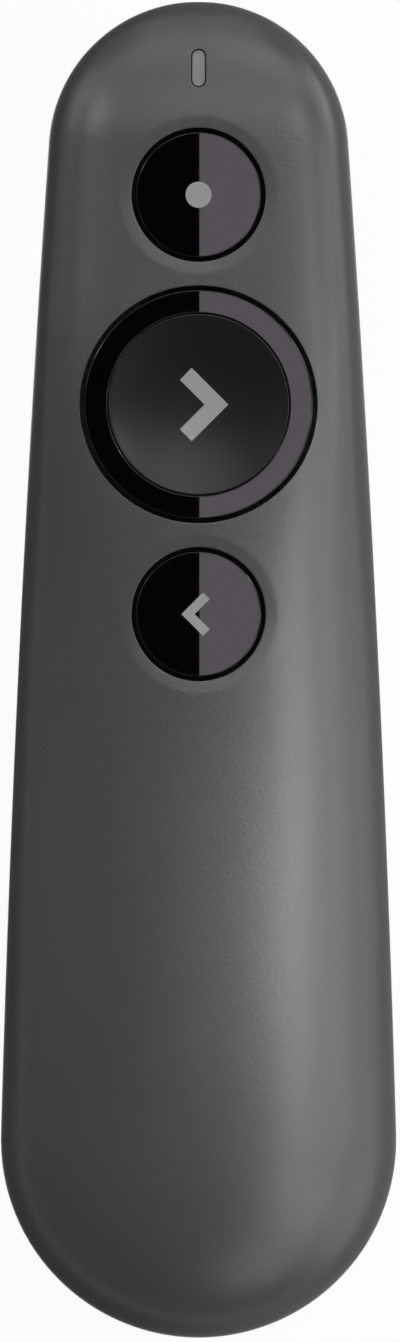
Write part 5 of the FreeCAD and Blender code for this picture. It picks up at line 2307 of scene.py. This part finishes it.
    def seen(self, tree: Tree, *kinds: str) -> Socket:
        """A socket that is 1 for rays of any of these kinds.

        Args:
            tree: The node tree.
            kinds: Kinds of ray.

        Returns:
            The socket.
        """
        path = tree.nodes.new("ShaderNodeLightPath")
        socket = path.outputs[kinds[0]]
        for kind in kinds[1:]:
            either = tree.nodes.new("ShaderNodeMath")
            either.operation = "MAXIMUM"
            tree.links.new(socket, either.inputs[0])
            tree.links.new(path.outputs[kind], either.inputs[1])
            socket = either.outputs[0]
        return socket

    def mixed(self, tree: Tree, share: Socket, first: Node, last: Node) -> Node:
        """A shader that is the first where the share is 0 and the last where it is 1.

        Args:
            tree: The node tree.
            share: Share of the last shader.
            first: Shader at 0.
            last: Shader at 1.

        Returns:
            The mixing node.
        """
        mix = tree.nodes.new("ShaderNodeMixShader")
        for place, socket in enumerate((share, first.outputs[0], last.outputs[0])):
            tree.links.new(socket, mix.inputs[place])
        return mix

    def world(self) -> None:
        """Dim room light; white to the eye and through glass; to gloss, white at the horizon."""
        world = bpy.data.worlds.new("studio")
        world.use_nodes = True
        tree = world.node_tree
        tree.nodes.clear()
        output = tree.nodes.new("ShaderNodeOutputWorld")
        fill, sweep, white = (tree.nodes.new("ShaderNodeBackground") for _ in range(3))
        for node, sky in ((fill, Sky.ROOM), (sweep, Sky.ROOM), (white, Sky.WHITE)):
            node.inputs["Color"].default_value = (1.0, 1.0, 1.0, 1.0)
            node.inputs["Strength"].default_value = sky.value
        way = tree.nodes.new("ShaderNodeTexCoord")
        split = tree.nodes.new("ShaderNodeSeparateXYZ")
        rise = tree.nodes.new("ShaderNodeMapRange")
        limits = {"From Min": 0.0, "From Max": self.horizon,
                  "To Min": Sky.WHITE.value, "To Max": Sky.ROOM.value}
        for name, value in limits.items():
            rise.inputs[name].default_value = value
        tree.links.new(way.outputs["Generated"], split.inputs["Vector"])
        tree.links.new(split.outputs["Z"], rise.inputs["Value"])
        tree.links.new(rise.outputs["Result"], sweep.inputs["Strength"])
        for_gloss = self.mixed(tree, self.seen(tree, "Is Glossy Ray"), fill, sweep)
        straight = self.seen(tree, "Is Camera Ray", "Is Transmission Ray")
        for_eye = self.mixed(tree, straight, for_gloss, white)
        tree.links.new(for_eye.outputs[0], output.inputs["Surface"])
        bpy.context.scene.world = world

    def build(self) -> None:
        """Set up the whole studio."""
        bpy.context.scene.view_settings.view_transform = "Standard"
        self.camera()
        self.world()
        for box in self.soft_boxes():
            box.hang()
        self.card()
        self.floor()
        self.flag()
        self.surround()


def main() -> None:
    """Build every piece in order and report each."""
    logging.basicConfig(level=logging.INFO, format="%(name)s: %(message)s")
    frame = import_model()
    palette = Palette()
    palette.dress(frame["nodes"])
    form = CaseForm()
    top = TopShell(form)
    arrow = ArrowSign(0.92, 3.0, 1.68, -1)
    parts = (
        ("top shell", top),
        ("lower case and door", LowerCase(form, top)),
        ("laser button", SmallButton("laser_button_gloss", "laser_button", LASER_BUTTON_Y, None)),
        ("back button", SmallButton("back_button_gloss", "back_button", BACK_BUTTON_Y, arrow)),
        ("large button", NextButton()),
        ("light pipe", LightPipe(form)),
        ("screws", Screws()),
        ("tail spring", WoundSpring("tail_spring", (-CELL_X, -54.4, CELL_Z), Axis.TO_NOSE)),
        ("front spring", WoundSpring("front_spring", (CELL_X, -5.4, CELL_Z), Axis.TO_TAIL)),
        ("left battery", Cell("battery_left", (-CELL_X, -49.9, CELL_Z), Axis.TO_NOSE)),
        ("right battery", Cell("battery_right", (CELL_X, -9.9, CELL_Z), Axis.TO_TAIL)),
        ("receiver", Receiver()),
    )
    for name, part in parts:
        part.build(palette)
        log.info(name)
    Studio().build()
    log.info("studio")


if __name__ == "__main__":
    main()
